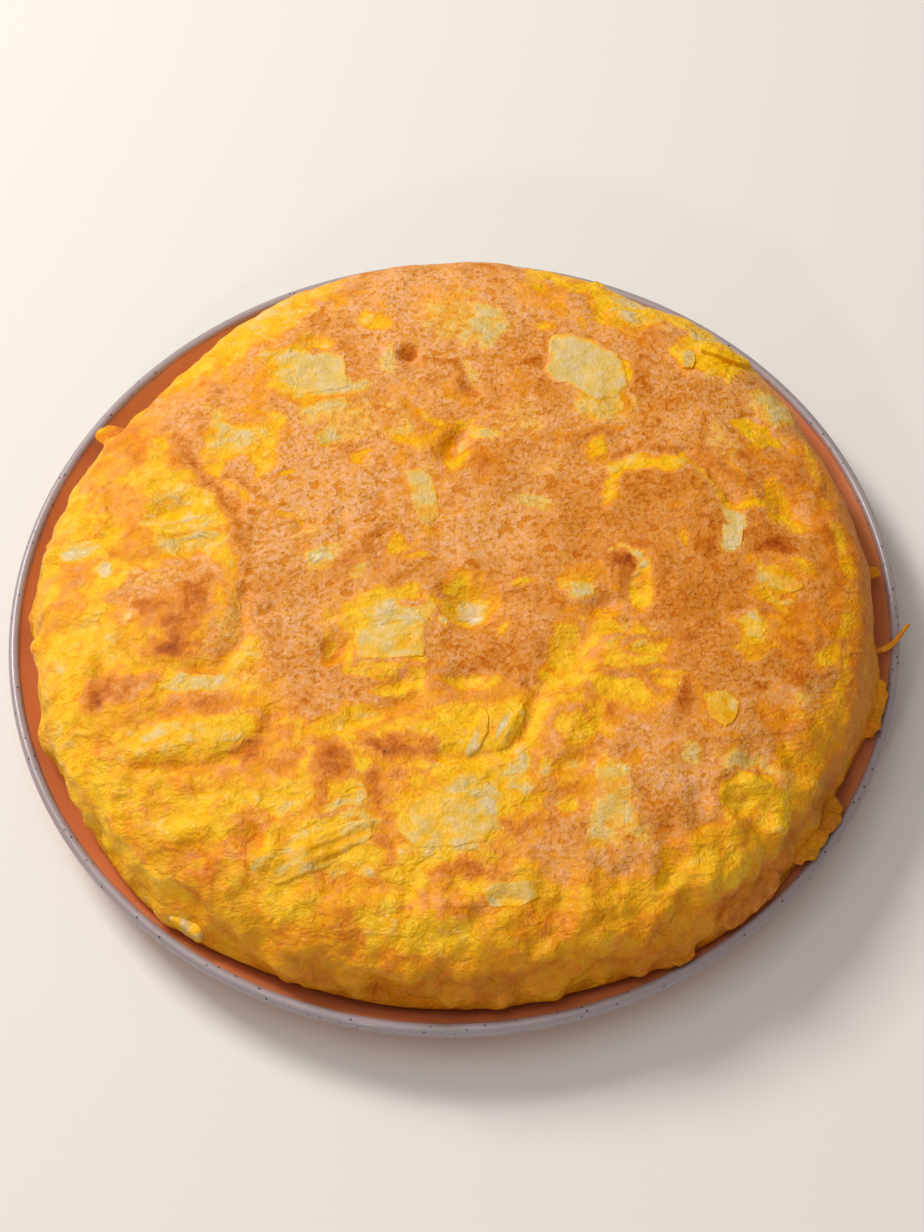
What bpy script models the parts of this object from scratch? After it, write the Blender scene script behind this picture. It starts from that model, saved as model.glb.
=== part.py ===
"""A thick potato omelette, turned out whole onto its round terracotta plate.

Metres, +Z up. The origin is the middle of the plate's flat foot. The side of the
omelette that was photographed nearest faces -Y.
"""
import math

import bpy
import bmesh
from mathutils import Matrix, Vector, noise

MM = 0.001
GAP = 0.3 * MM                  # air left between two pieces that touch
UP = Vector((0.0, 0.0, 1.0))

# The plate: a turned coupe of terracotta with a rounded lip.
PLATE_RADIUS = 130 * MM
PLATE_HEIGHT = 20 * MM
FOOT_RADIUS = 88 * MM
FLOOR_HEIGHT = 5.5 * MM         # the eating surface above the table
LIP_WIDTH = 3.2 * MM
FLAT_RADIUS = 100 * MM          # where the eating surface starts to rise
WALL_CURVE = 2.2                # how late the wall turns upright
INNER_RADIUS = PLATE_RADIUS - LIP_WIDTH
LIP_MIDDLE = PLATE_HEIGHT - LIP_WIDTH / 2
PLATE_STEPS = 68

# The omelette: a disc with full shoulders, widest low down, bedded in the plate.
EGG_RADIUS = 120.6 * MM
EGG_TOP = 45.5 * MM
WIDEST_HEIGHT = 20 * MM
SHOULDER_HEIGHT = 32 * MM
SHOULDER_POWER = 4.6            # 2 would be a half ellipse, more is squarer
BED_RADIUS = 103 * MM           # the flat underside
BED_CLEARANCE = 0.5 * MM        # under the rising edge, where the plate is faceted
EDGE_LIMIT = INNER_RADIUS - 0.4 * MM
GRID_CELLS = 54
LUMPS = ((0.9 * MM, 24 * MM, 3.0), (0.45 * MM, 10 * MM, 7.0))   # height, size, seed

# Its outline isn't round: angle and half width in degrees, swelling in mm.
EDGE_SWELLS = (
    (228, 16, 4.2), (262, 18, 2.4), (275, 5, 0.8), (307, 22, 5.3), (343, 9, 3.8),
    (2, 4, 1.5), (22, 16, 0.6), (45, 12, 1.2), (141, 17, -1.8), (178, 5, 3.2), (199, 4, 2.8),
)
SHOULDER_SWELLS = (
    (136, 20, -6.5), (147, 6, -1.5), (92, 13, -1.4), (60, 7, -2.0), (22, 11, -2.4),
    (165, 8, -1.2), (312, 18, 2.0), (225, 20, 1.6),
)

# Hollows in the top, where egg sank between the potatoes:
# x, y, half length, half width in mm, turn in degrees, depth in mm.
TOP_HOLLOWS = (
    (2, 41, 7, 3.6, 62, 4.2), (5, -13, 8, 6, -35, 4.4), (31, -31, 11, 6, 56, 4.2),
    (-33, -26, 4.5, 4.2, 60, 4.6), (-14, -37, 6, 3, 10, 2.2), (3, -37, 5.5, 3.5, 0, 2.4),
    (42, -15, 5, 3.4, 20, 2.2), (31, -64, 6.5, 3, 15, 2.6), (29, -75, 7, 4.5, 0, 1.8),
    (75, -76, 4.5, 4, 30, 3.2), (97, 17, 8, 5, -62, 3.2), (-80, 23, 8, 3.5, 20, 2.2),
    (-56, -82, 4, 3.2, 0, 3.0), (-71, -83, 4, 3.4, 0, 2.2), (-11, 75, 3.2, 3, 0, 2.4),
    (52, -10, 4, 6, 0, 1.6), (-38, 82, 5, 2.4, -20, 1.8), (7, 61, 3.4, 3, 0, 1.6),
    (95, 43, 10, 4, -35, 1.8), (-74, 10, 8, 4, 0, 1.6),
)
# Domes, where a potato lies just under the skin, with the same columns.
TOP_DOMES = (
    (-77, -10, 15, 13, 20, 2.2), (-70, -52, 17, 7, 5, 2.2), (10, 30, 9, 8, 30, 1.6),
    (62, -68, 22, 14, 30, 1.4), (70, 25, 14, 9, -35, 1.4), (-40, 20, 20, 14, 0, 0.9),
    (-35, -62, 9, 8, 0, 1.2), (90, -50, 11, 6, 0, 1.2), (30, -50, 6, 9, 0, 1.2),
)
# Folds and creases along a line: half width and depth in mm, then its points.
CREASES = (
    (2.6, 3.0, ((23, -41), (21, -46), (19, -53), (14, -59), (6, -61.5), (-4, -60))),
    (2.6, 2.2, ((-92, -19), (-87, -27), (-76, -30), (-66, -30), (-60, -22), (-59, -8))),
    (2.8, 2.0, ((-92, -57), (-80, -60), (-66, -60), (-54, -55), (-50, -46))),
    (2.4, 1.6, ((-32, -50), (-20, -46), (-10, -42))),
    (2.4, 1.6, ((70, 36), (77, 28), (82, 19))),
    (2.6, 1.6, ((-80, 47), (-70, 34), (-62, 20))),
)
# Dents in the side: angle in degrees, height, half length, half height, depth in mm.
SIDE_DENTS = (
    (231, 33, 7, 5, 2.4), (243, 34, 6, 5, 2.2), (252, 33, 8, 5, 2.0), (259, 24, 3, 8, 1.8),
    (286, 31, 9, 4, 1.6), (300, 34, 7, 4, 2.0), (322, 31, 8, 5, 1.6), (216, 30, 6, 6, 1.4),
)

# Flakes and flaps of egg that stand out of the side, fused with it: name, angle,
# root and tip radius, root and tip height, root and tip width, thickness, all in mm.
FLAKES = (
    ("flake_left", 148.2, 106, 124.6, 24.5, 24.0, 10.0, 5.5, 2.4),
    ("flake_fin", 168.0, 112, 122.6, 22.0, 22.5, 3.0, 1.5, 1.8),
    ("flake_right", 3.0, 112, 125.0, 20.5, 22.6, 7.0, 3.5, 2.2),
    ("flake_front", 297.5, 115, 128.0, 22.4, 21.8, 14.0, 6.0, 2.2),
    ("flake_back", 65.5, 104, 118.0, 36.0, 34.0, 7.0, 4.0, 2.4),
    ("skirt_right", 322.0, 114, 127.4, 23.6, 21.8, 26.0, 20.0, 2.4),
    ("skirt_far_right", 342.0, 114, 126.6, 23.0, 21.8, 22.0, 18.0, 2.4),
)
# A thread of set egg that hangs over the lip: points in mm, then its radius.
THREAD_POINTS = (
    (115, -19.5, 21.5), (121.5, -20, 21.9), (125.5, -18.6, 22.2), (128.6, -14.6, 22.2),
    (131.4, -10.9, 21.9),
)
THREAD_RADIUS = 0.9 * MM

# Potato on the top: name, x, y, length, width, thickness in mm, turn and corner power.
TOP_POTATOES = (
    ("potato_slice_large", 41.5, 69, 26, 28, 5.0, 0, 2.4),
    ("potato_slab_back", -36.5, 70.5, 17, 17, 5.0, -6, 4.0),
    ("potato_slice_middle", -8.5, 24, 12, 22, 4.0, 12, 3.0),
    ("potato_chunk_centre", -17, -24.5, 22, 12.5, 6.0, -4, 4.5),
    ("potato_slice_front", -3, -79, 28, 17, 5.0, -14, 3.0),
    ("potato_dice_right", 72.3, -48.5, 10, 12, 6.0, 24, 5.0),
    ("potato_dice_small", 84, -23, 7, 7, 5.0, 12, 4.0),
    ("potato_slice_right", 93, -6, 15, 8, 4.0, -30, 3.0),
    ("potato_chip_right", 80.5, 9.5, 8, 14, 4.0, -14, 3.0),
    ("potato_strip_front", 40, -73.5, 8, 22, 4.0, -4, 3.5),
    ("potato_slab_front", 12.5, -100, 17, 8, 4.0, 6, 3.5),
)
# Potato on the side: name, angle in degrees, height, length, width and thickness in mm,
# turn in its own plane and how far it leans back, in degrees.
SIDE_POTATOES = (
    ("potato_slab_side", 308.7, 25.0, 22, 9.0, 6.0, 4, 25),
    ("potato_chunk_base", 232.5, 22.0, 12, 6.5, 6.0, -6, 0),
)
# Onion, with the same columns as the potato on the top.
ONIONS = (
    ("onion_petal_outer", 5, -53, 5, 15, 3.0, -24, 2.2),
    ("onion_petal_inner", 14.2, -51.5, 6, 15, 3.0, -24, 2.2),
    ("onion_layer_front", -37, -86.5, 31, 12, 3.0, 21, 3.0),
    ("onion_strip_rim", 84.5, 75.0, 18, 7, 4.0, -12, 2.6),
    ("onion_ring_rim", 72.6, 71.0, 5, 8, 3.0, 4, 2.6),
)
LIFT = 0.5 * MM                 # how far a bare piece stands out of the skin
HIGH_LIFT = {"onion_strip_rim": 2.0 * MM, "onion_ring_rim": 1.2 * MM}
SLAB_SIDES = 16
SLAB_BEVEL = 0.8 * MM
POCKET_HEADROOM = 9 * MM


def new_collection(name):
    collection = bpy.data.collections.new(name)
    bpy.context.scene.collection.children.link(collection)
    return collection


def material(name, colour, roughness):
    made = bpy.data.materials.new(name)
    made.use_nodes = True
    shader = made.node_tree.nodes["Principled BSDF"]
    shader.inputs["Base Color"].default_value = (*colour, 1.0)
    shader.inputs["Roughness"].default_value = roughness
    shader.inputs["Metallic"].default_value = 0.0
    return made


def object_from_bmesh(name, mesh_data, collection, finish=None):
    bmesh.ops.recalc_face_normals(mesh_data, faces=mesh_data.faces)
    mesh = bpy.data.meshes.new(name)
    mesh_data.to_mesh(mesh)
    mesh_data.free()
    made = bpy.data.objects.new(name, mesh)
    collection.objects.link(made)
    if finish:
        mesh.materials.append(finish)
    return made


def smooth_step(value):
    value = min(max(value, 0.0), 1.0)
    return value * value * (3 - 2 * value)


def apply_modifiers(made):
    """Replace the object's mesh by its evaluated mesh."""
    evaluated = made.evaluated_get(bpy.context.evaluated_depsgraph_get())
    mesh = bpy.data.meshes.new_from_object(evaluated)
    made.modifiers.clear()
    made.data = mesh


# The plate

def plate_inside(radius):
    """Height of the eating surface at a distance from the middle."""
    rise = max(0.0, radius - FLAT_RADIUS) / (INNER_RADIUS - FLAT_RADIUS)
    return FLOOR_HEIGHT + (LIP_MIDDLE - FLOOR_HEIGHT) * min(rise, 1.0) ** WALL_CURVE


def plate_profile():
    """From the middle out over the eating surface, round the lip and back under the foot."""
    points = [(0.0, FLOOR_HEIGHT), (FLAT_RADIUS, FLOOR_HEIGHT)]
    wall_steps = 6
    for step in range(1, wall_steps + 1):
        radius = FLAT_RADIUS + (INNER_RADIUS - FLAT_RADIUS) * (step / wall_steps) ** 0.8
        points.append((radius, plate_inside(radius)))
    lip_radius = LIP_WIDTH / 2
    lip_steps = 4
    for step in range(1, lip_steps + 1):
        angle = math.pi * (1 - step / lip_steps)
        points.append((PLATE_RADIUS - lip_radius + lip_radius * math.cos(angle),
                       LIP_MIDDLE + lip_radius * math.sin(angle)))
    under_steps = 4
    for step in range(1, under_steps):
        turn = math.pi / 2 * step / under_steps
        points.append((FOOT_RADIUS + (PLATE_RADIUS - FOOT_RADIUS) * math.cos(turn),
                       LIP_MIDDLE * (1 - math.sin(turn) ** 0.9)))
    points += [(FOOT_RADIUS, 0.0), (0.0, 0.0)]
    return points


def make_plate(collection):
    points = plate_profile()
    mesh = bpy.data.meshes.new("plate")
    mesh.from_pydata([(radius, 0.0, height) for radius, height in points],
                     [(index, index + 1) for index in range(len(points) - 1)], [])
    plate = bpy.data.objects.new("plate", mesh)
    collection.objects.link(plate)
    mesh.materials.append(material("glazed_terracotta", (0.50, 0.19, 0.08), 0.35))
    turn = plate.modifiers.new("turned", "SCREW")
    turn.steps = PLATE_STEPS
    turn.render_steps = PLATE_STEPS
    turn.use_merge_vertices = True
    turn.merge_threshold = 0.00005
    turn.use_smooth_shade = True
    return plate


# The omelette

def swell(angle, swells):
    """Sum of the swellings of an outline at an angle in degrees, in metres."""
    total = 0.0
    for middle, half_width, height in swells:
        away = (angle - middle + 180) % 360 - 180
        total += height * MM * math.exp(-(away / half_width) ** 2)
    return total


def egg_section():
    """The round section from the top's middle down to the flat bed, as (radius, height)."""
    points = [(0.0, EGG_TOP)]
    steps = 60
    for step in range(1, steps + 1):
        turn = math.pi / 2 * step / steps
        points.append((EGG_RADIUS * math.sin(turn) ** (2 / SHOULDER_POWER),
                       WIDEST_HEIGHT + (EGG_TOP - WIDEST_HEIGHT) * max(math.cos(turn), 0.0)
                       ** (2 / SHOULDER_POWER)))
    tuck = 0.4 * (INNER_RADIUS - EGG_RADIUS)
    foot = EGG_RADIUS - tuck
    points.append((foot, plate_inside(foot) + BED_CLEARANCE))
    under_steps = 6
    for step in range(1, under_steps + 1):
        radius = foot + (BED_RADIUS - foot) * step / under_steps
        points.append((radius, plate_inside(radius) + BED_CLEARANCE))
    return points


def along_section(points, share):
    """The point at a share of the section's length, and the direction out of the skin."""
    lengths = [math.dist(a, b) for a, b in zip(points, points[1:])]
    left = share * sum(lengths)
    for index, length in enumerate(lengths):
        if left <= length or index == len(lengths) - 1:
            a, b = points[index], points[index + 1]
            part = min(left / length, 1.0)
            run, drop = (b[0] - a[0]) / length, (a[1] - b[1]) / length
            return (a[0] + (b[0] - a[0]) * part, a[1] + (b[1] - a[1]) * part), (drop, run)
        left -= length


def oval(x, y, row):
    """How deep inside an oval hollow a place is: 1 in its middle, 0 well outside."""
    middle_x, middle_y, half_length, half_width, turn = row[:5]
    cosine, sine = math.cos(math.radians(turn)), math.sin(math.radians(turn))
    away_x, away_y = x / MM - middle_x, y / MM - middle_y
    along = (away_x * cosine + away_y * sine) / half_length
    across = (away_y * cosine - away_x * sine) / half_width
    return math.exp(-(along * along + across * across) ** 1.3)


def distance_to_line(place, points):
    """Distance in mm from a place in mm to a line through points in mm."""
    nearest = math.inf
    for start, end in zip(points, points[1:]):
        start, end = Vector(start), Vector(end)
        run = end - start
        part = min(max((place - start).dot(run) / run.length_squared, 0.0), 1.0)
        nearest = min(nearest, (place - start - run * part).length)
    return nearest


def relief(point, angle):
    """How far the skin stands out of the plain section at a point, in metres."""
    height = sum(rise * noise.noise(Vector(point) / size + Vector((seed, seed, seed)))
                 for rise, size, seed in LUMPS)
    for row in TOP_HOLLOWS:
        height -= row[5] * MM * oval(point[0], point[1], row)
    for row in TOP_DOMES:
        height += row[5] * MM * oval(point[0], point[1], row)
    place = Vector((point[0], point[1])) / MM
    for half_width, depth, points in CREASES:
        height -= depth * MM * math.exp(-(distance_to_line(place, points) / half_width) ** 2)
    for middle, level, half_length, half_height, depth in SIDE_DENTS:
        away = math.radians((angle - middle + 180) % 360 - 180) * EGG_RADIUS / MM / half_length
        above = (point[2] / MM - level) / half_height
        height -= depth * MM * math.exp(-away * away - above * above)
    return height


def skin_point(section, share, angle):
    """A point of the omelette's skin and the direction out of it."""
    (radius, height), (out, rise) = along_section(section, share)
    k = smooth_step((height - WIDEST_HEIGHT) / (SHOULDER_HEIGHT - WIDEST_HEIGHT))
    reach = smooth_step((radius - 0.6 * EGG_RADIUS) / (0.35 * EGG_RADIUS))
    degrees = math.degrees(angle)
    grow = swell(degrees, EDGE_SWELLS) * (1 - k) + swell(degrees, SHOULDER_SWELLS) * k
    above_bed = smooth_step((height - plate_inside(radius) - BED_CLEARANCE) / (4 * MM))
    direction = Vector((out * math.cos(angle), out * math.sin(angle), rise))
    if height < WIDEST_HEIGHT:
        radius += grow * reach * (radius - BED_RADIUS) / (EGG_RADIUS - BED_RADIUS)
        radius = min(radius, EDGE_LIMIT)
        height = max(height, plate_inside(radius) + BED_CLEARANCE)
        return Vector((radius * math.cos(angle), radius * math.sin(angle), height)), direction
    radius += grow * reach
    point = Vector((radius * math.cos(angle), radius * math.sin(angle), height))
    point += direction * relief(point, degrees) * above_bed
    flat = math.hypot(point.x, point.y)
    limit = EDGE_LIMIT + max(0.0, point.z - PLATE_HEIGHT) * 0.5
    if flat > limit:
        point.x *= limit / flat
        point.y *= limit / flat
    return point, direction


def disc_place(across, along):
    """Turn a place in a square from -1 to 1 into a share of the radius and an angle."""
    if abs(across) < 1e-9 and abs(along) < 1e-9:
        return 0.0, 0.0
    if abs(across) > abs(along):
        share, angle = across, math.pi / 4 * along / across
    else:
        share, angle = along, math.pi / 2 - math.pi / 4 * across / along
    if share < 0:
        share, angle = -share, angle + math.pi
    return share, angle


def make_omelette(collection):
    """An even grid wrapped over the section, closed underneath by the flat bed."""
    section = egg_section()
    mesh_data = bmesh.new()
    bmesh.ops.create_grid(mesh_data, x_segments=GRID_CELLS, y_segments=GRID_CELLS, size=1.0)
    for vertex in mesh_data.verts:
        share, angle = disc_place(vertex.co.x, vertex.co.y)
        vertex.co = skin_point(section, share, angle)[0]
    rim = [edge for edge in mesh_data.edges if edge.is_boundary]
    bmesh.ops.edgeloop_fill(mesh_data, edges=rim)
    bmesh.ops.triangulate(mesh_data, faces=mesh_data.faces)
    omelette = object_from_bmesh("omelette", mesh_data, collection,
                                 material("set_egg", (0.78, 0.36, 0.05), 0.45))
    omelette.data.shade_smooth()
    return omelette


def flake(row, collection):
    """A thin tongue of egg, tapered and a little cupped, rooted inside the omelette."""
    name, angle, root, tip, root_height, tip_height, root_width, tip_width, thickness = row
    mesh_data = bmesh.new()
    bmesh.ops.create_grid(mesh_data, x_segments=5, y_segments=4, size=0.5)
    turn = Matrix.Rotation(math.radians(angle), 4, "Z")
    top = bmesh.ops.extrude_face_region(mesh_data, geom=mesh_data.faces[:])["geom"]
    for vertex in [item for item in top if isinstance(item, bmesh.types.BMVert)]:
        vertex.co.z += 1.0
    for vertex in mesh_data.verts:
        along, across, upper = vertex.co.x + 0.5, vertex.co.y, vertex.co.z
        width = root_width + (tip_width - root_width) * along ** 2
        ragged = 1.2 * noise.noise(Vector((across * 5, angle, 0.0))) * along - 1.2 * along * (
            2 * across) ** 2
        cup = 1.2 * abs(across)
        sheet = thickness * (1 - 0.6 * along)
        place = Vector((root + (tip - root) * along + ragged, across * width,
                        root_height + (tip_height - root_height) * along + cup
                        + sheet * (upper - 0.5)))
        vertex.co = turn @ (place * MM)
    bmesh.ops.triangulate(mesh_data, faces=mesh_data.faces)
    return object_from_bmesh(name, mesh_data, collection)


def thread(collection):
    """The thin thread of egg over the lip, a tube along a line."""
    curve = bpy.data.curves.new("thread", "CURVE")
    curve.dimensions = "3D"
    curve.bevel_depth = THREAD_RADIUS
    curve.bevel_resolution = 1
    curve.use_fill_caps = True
    line = curve.splines.new("POLY")
    line.points.add(len(THREAD_POINTS) - 1)
    for index, place in enumerate(THREAD_POINTS):
        line.points[index].co = (*(Vector(place) * MM), 1.0)
        line.points[index].radius = 1.3 - 0.6 * index / (len(THREAD_POINTS) - 1)
    drawn = bpy.data.objects.new("thread", curve)
    collection.objects.link(drawn)
    mesh = bpy.data.meshes.new_from_object(
        drawn.evaluated_get(bpy.context.evaluated_depsgraph_get()))
    bpy.data.objects.remove(drawn)
    mesh_data = bmesh.new()
    mesh_data.from_mesh(mesh)
    bmesh.ops.remove_doubles(mesh_data, verts=mesh_data.verts, dist=0.00001)
    return object_from_bmesh("thread_of_egg", mesh_data, collection)


# Potato and onion

def skin_at(section, x, y):
    """The skin's point and outward direction over a place on the top."""
    angle = math.atan2(y, x)
    goal = math.hypot(x, y)
    low, high = 0.0, 0.75
    for _ in range(30):
        middle = (low + high) / 2
        point = skin_point(section, middle, angle)[0]
        if math.hypot(point.x, point.y) < goal:
            low = middle
        else:
            high = middle
    return skin_point(section, low, angle)


def skin_at_height(section, degrees, height):
    """The skin's point and outward direction on the side at a height."""
    angle = math.radians(degrees)
    low, high = 0.3, 0.9
    for _ in range(30):
        middle = (low + high) / 2
        if skin_point(section, middle, angle)[0].z > height:
            low = middle
        else:
            high = middle
    return skin_point(section, low, angle)


def standing(point, outward, turn, first):
    """A frame at a point, Z along outward, X as near as can be to a first direction."""
    across = (first - outward * first.dot(outward)).normalized()
    frame = Matrix((across, outward.cross(across), outward)).transposed().to_4x4()
    return Matrix.Translation(point) @ frame @ Matrix.Rotation(math.radians(turn), 4, "Z")


def slab_outline(length, width, power, grow, seed):
    """A rounded outline between an oval and a rectangle, a little uneven as if cut by hand."""
    points = []
    for side in range(SLAB_SIDES):
        turn = math.tau * side / SLAB_SIDES
        cosine, sine = math.cos(turn), math.sin(turn)
        uneven = 1 + 0.05 * noise.noise(Vector((cosine * 1.3, sine * 1.3, seed)))
        points.append((
            math.copysign(abs(cosine) ** (2 / power), cosine) * length / 2 * uneven
            + math.copysign(grow, cosine) * (abs(cosine) > 1e-6),
            math.copysign(abs(sine) ** (2 / power), sine) * width / 2 * uneven
            + math.copysign(grow, sine) * (abs(sine) > 1e-6)))
    return points


def slab(name, size, power, bottom, top, grow, seed, frame, collection, finish=None):
    """A flat piece with its outline in the frame's plane, from bottom to top along Z."""
    mesh_data = bmesh.new()
    circle = bmesh.ops.create_circle(mesh_data, cap_ends=True, segments=SLAB_SIDES, radius=1.0)
    outline = slab_outline(size[0], size[1], power, grow, seed)
    ordered = sorted(circle["verts"], key=lambda vertex: math.atan2(vertex.co.y, vertex.co.x)
                     % math.tau)
    for vertex, place in zip(ordered, outline):
        vertex.co = Vector((*place, bottom))
    raised = bmesh.ops.extrude_face_region(mesh_data, geom=mesh_data.faces[:])["geom"]
    for vertex in [item for item in raised if isinstance(item, bmesh.types.BMVert)]:
        vertex.co.z = top
    made = object_from_bmesh(name, mesh_data, collection, finish)
    made.matrix_world = frame
    return made


def make_piece(name, size, power, lift, frame, collection, cutters, finish, seed):
    """A piece sunk in the skin, and the pocket it needs as a cutter."""
    thickness = size[2]
    piece = slab(name, size, power, lift - thickness, lift, 0.0, seed, frame, collection, finish)
    rounding = piece.modifiers.new("rounded", "BEVEL")
    rounding.width = SLAB_BEVEL
    rounding.segments = 1
    rounding.limit_method = "ANGLE"
    rounding.angle_limit = math.radians(50)
    slab(name + "_pocket", size, power, lift - thickness - GAP, lift + POCKET_HEADROOM, GAP,
         seed, frame, cutters)
    return piece


def make_pieces(collection, cutters):
    section = egg_section()
    potato = material("boiled_potato", (0.72, 0.56, 0.26), 0.5)
    onion = material("soft_onion", (0.80, 0.58, 0.20), 0.35)
    right = Vector((1.0, 0.0, 0.0))
    rows = [(row, potato) for row in TOP_POTATOES] + [(row, onion) for row in ONIONS]
    for seed, (row, finish) in enumerate(rows):
        name, x, y, length, width, thickness, turn, power = row
        point, outward = skin_at(section, x * MM, y * MM)
        size = (length * MM, width * MM, thickness * MM)
        lift = HIGH_LIFT.get(name, LIFT)
        make_piece(name, size, power, lift, standing(point, outward, turn, right),
                   collection, cutters, finish, seed)
    for seed, row in enumerate(SIDE_POTATOES, start=len(rows)):
        name, degrees, height, length, width, thickness, turn, lean = row
        point, outward = skin_at_height(section, degrees, height * MM)
        outward = Vector((outward.x, outward.y, 0.0)).normalized()
        outward = outward * math.cos(math.radians(lean)) + UP * math.sin(math.radians(lean))
        around = UP.cross(outward)
        size = (length * MM, width * MM, thickness * MM)
        make_piece(name, size, 3.5, LIFT, standing(point, outward, turn, around),
                   collection, cutters, potato, seed)


def combine(target, source, operation):
    """Join or cut the target with every object of a collection, then drop that collection."""
    change = target.modifiers.new(operation.lower(), "BOOLEAN")
    change.operation = operation
    change.operand_type = "COLLECTION"
    change.collection = source
    change.solver = "EXACT"
    apply_modifiers(target)
    for tool in list(source.objects):
        bpy.data.objects.remove(tool)
    bpy.data.collections.remove(source)


def main():
    for item in list(bpy.data.objects):
        bpy.data.objects.remove(item)
    parts = new_collection("spanish_omelette")
    pockets = new_collection("pockets")
    flakes = new_collection("flakes")

    make_plate(parts)
    omelette = make_omelette(parts)
    for row in FLAKES:
        flake(row, flakes)
    thread(flakes)
    make_pieces(parts, pockets)
    for tool in list(pockets.objects) + list(flakes.objects):
        tool.hide_render = True
        tool.display_type = "WIRE"
    bpy.context.view_layer.update()
    combine(omelette, flakes, "UNION")
    combine(omelette, pockets, "DIFFERENCE")


main()
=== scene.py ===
"""Looks of the potato omelette on its terracotta plate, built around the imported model.

Metres, +Z up, the side that faces the camera at -Y. The lists of patches are in
millimetres over the plate, x to the right and y away from the camera.
"""

import itertools
import math

import bpy
import numpy as np
from mathutils import Matrix, Vector, noise
from mathutils.bvhtree import BVHTree


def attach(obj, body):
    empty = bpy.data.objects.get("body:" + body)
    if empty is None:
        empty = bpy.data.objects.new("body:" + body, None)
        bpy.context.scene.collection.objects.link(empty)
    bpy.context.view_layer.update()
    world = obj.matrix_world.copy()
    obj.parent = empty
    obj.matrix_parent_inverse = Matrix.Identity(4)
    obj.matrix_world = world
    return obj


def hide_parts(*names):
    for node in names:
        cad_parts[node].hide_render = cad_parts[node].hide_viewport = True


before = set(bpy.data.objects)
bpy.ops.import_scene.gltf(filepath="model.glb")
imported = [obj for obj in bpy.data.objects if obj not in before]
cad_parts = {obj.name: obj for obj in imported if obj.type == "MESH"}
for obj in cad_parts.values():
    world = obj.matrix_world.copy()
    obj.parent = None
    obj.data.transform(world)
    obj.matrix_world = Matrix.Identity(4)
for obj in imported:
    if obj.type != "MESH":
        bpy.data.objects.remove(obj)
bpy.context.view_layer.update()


# The plate
# A shallow turned dish of terracotta, 260 mm across, that the omelette was tipped onto.
# It is thrown on a wheel and glazed twice: clear, which leaves the clay brick red, and a
# stony grey over the rounded lip.

PLATE_RADIUS = 0.130
PLATE_HEIGHT = 0.020
FOOT_RADIUS = 0.088
FLOOR_HEIGHT = 0.0055
LIP_WIDTH = 0.0032
FLAT_RADIUS = 0.100
INNER_RADIUS = PLATE_RADIUS - LIP_WIDTH
LIP_MIDDLE = PLATE_HEIGHT - LIP_WIDTH / 2
MIDDLE_RADIUS = 0.060               # the flat middle, one face inside the first ring
RINGS = 56
SIDES = 180


def plate_inside(radius):
    """Height of the eating surface at a distance from the middle."""
    rise = np.clip((radius - FLAT_RADIUS) / (INNER_RADIUS - FLAT_RADIUS), 0.0, 1.0)
    return FLOOR_HEIGHT + (LIP_MIDDLE - FLOOR_HEIGHT) * rise ** 2.2


def linear(colour):
    """An sRGB hex colour as the linear red, green and blue that shaders take."""
    parts = [int(colour[start:start + 2], 16) / 255 for start in (1, 3, 5)]
    return [part / 12.92 if part <= 0.04045 else ((part + 0.055) / 1.055) ** 2.4
            for part in parts]


def set_inputs(tree, node, inputs):
    """Give a node's inputs values, outputs or whole nodes."""
    for name, value in inputs.items():
        if isinstance(value, bpy.types.Node):
            value = next(socket for socket in value.outputs if socket.enabled)
        if isinstance(value, bpy.types.NodeSocket):
            tree.links.new(value, node.inputs[name])
        else:
            node.inputs[name].default_value = value


def add_node(tree, kind, inputs, **settings):
    """Add a node with its settings and what goes into it."""
    node = tree.nodes.new(kind)
    for name, value in settings.items():
        setattr(node, name, value)
    set_inputs(tree, node, inputs)
    return node


def new_material(name):
    """An empty node material with its shader and output."""
    made = bpy.data.materials.new(name)
    made.use_nodes = True
    made.node_tree.nodes.clear()
    tree = made.node_tree
    shader = add_node(tree, "ShaderNodeBsdfPrincipled", {})
    add_node(tree, "ShaderNodeOutputMaterial", {"Surface": shader.outputs[0]})
    return made, tree, shader


def open_edit(piece, select="SELECT"):
    """Edit one piece alone."""
    bpy.ops.object.select_all(action="DESELECT")
    bpy.context.view_layer.objects.active = piece
    piece.select_set(True)
    bpy.ops.object.mode_set(mode="EDIT")
    bpy.ops.mesh.select_all(action=select)


def per_metre(size):
    """The scale of a pattern that repeats every so many mm, on coordinates in metres."""
    return 1000 / size


def finish_piece(piece, finish, slot, *nodes):
    """Give a piece its material and body, and hide the imported solids it stands for. The slot is
    not used.
    """
    piece.data.materials.append(finish)
    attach(piece, "root")
    if nodes:
        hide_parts(*nodes)


def clay_ring(share):
    """A ring of the plate's section: from the eating surface over the lip to the foot."""
    lip = LIP_WIDTH / 2
    if share < 0.5:
        radius = MIDDLE_RADIUS + (INNER_RADIUS - MIDDLE_RADIUS) * (share / 0.5) ** 0.7
        return radius, float(plate_inside(radius))
    if share < 0.75:
        turn = math.pi * (1 - (share - 0.5) / 0.25)
        return (PLATE_RADIUS - lip + lip * math.cos(turn), LIP_MIDDLE + lip * math.sin(turn))
    turn = math.pi / 2 * (share - 0.75) / 0.25
    return (FOOT_RADIUS + (PLATE_RADIUS - FOOT_RADIUS) * math.cos(turn),
            LIP_MIDDLE * (1 - math.sin(turn) ** 0.9))


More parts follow.
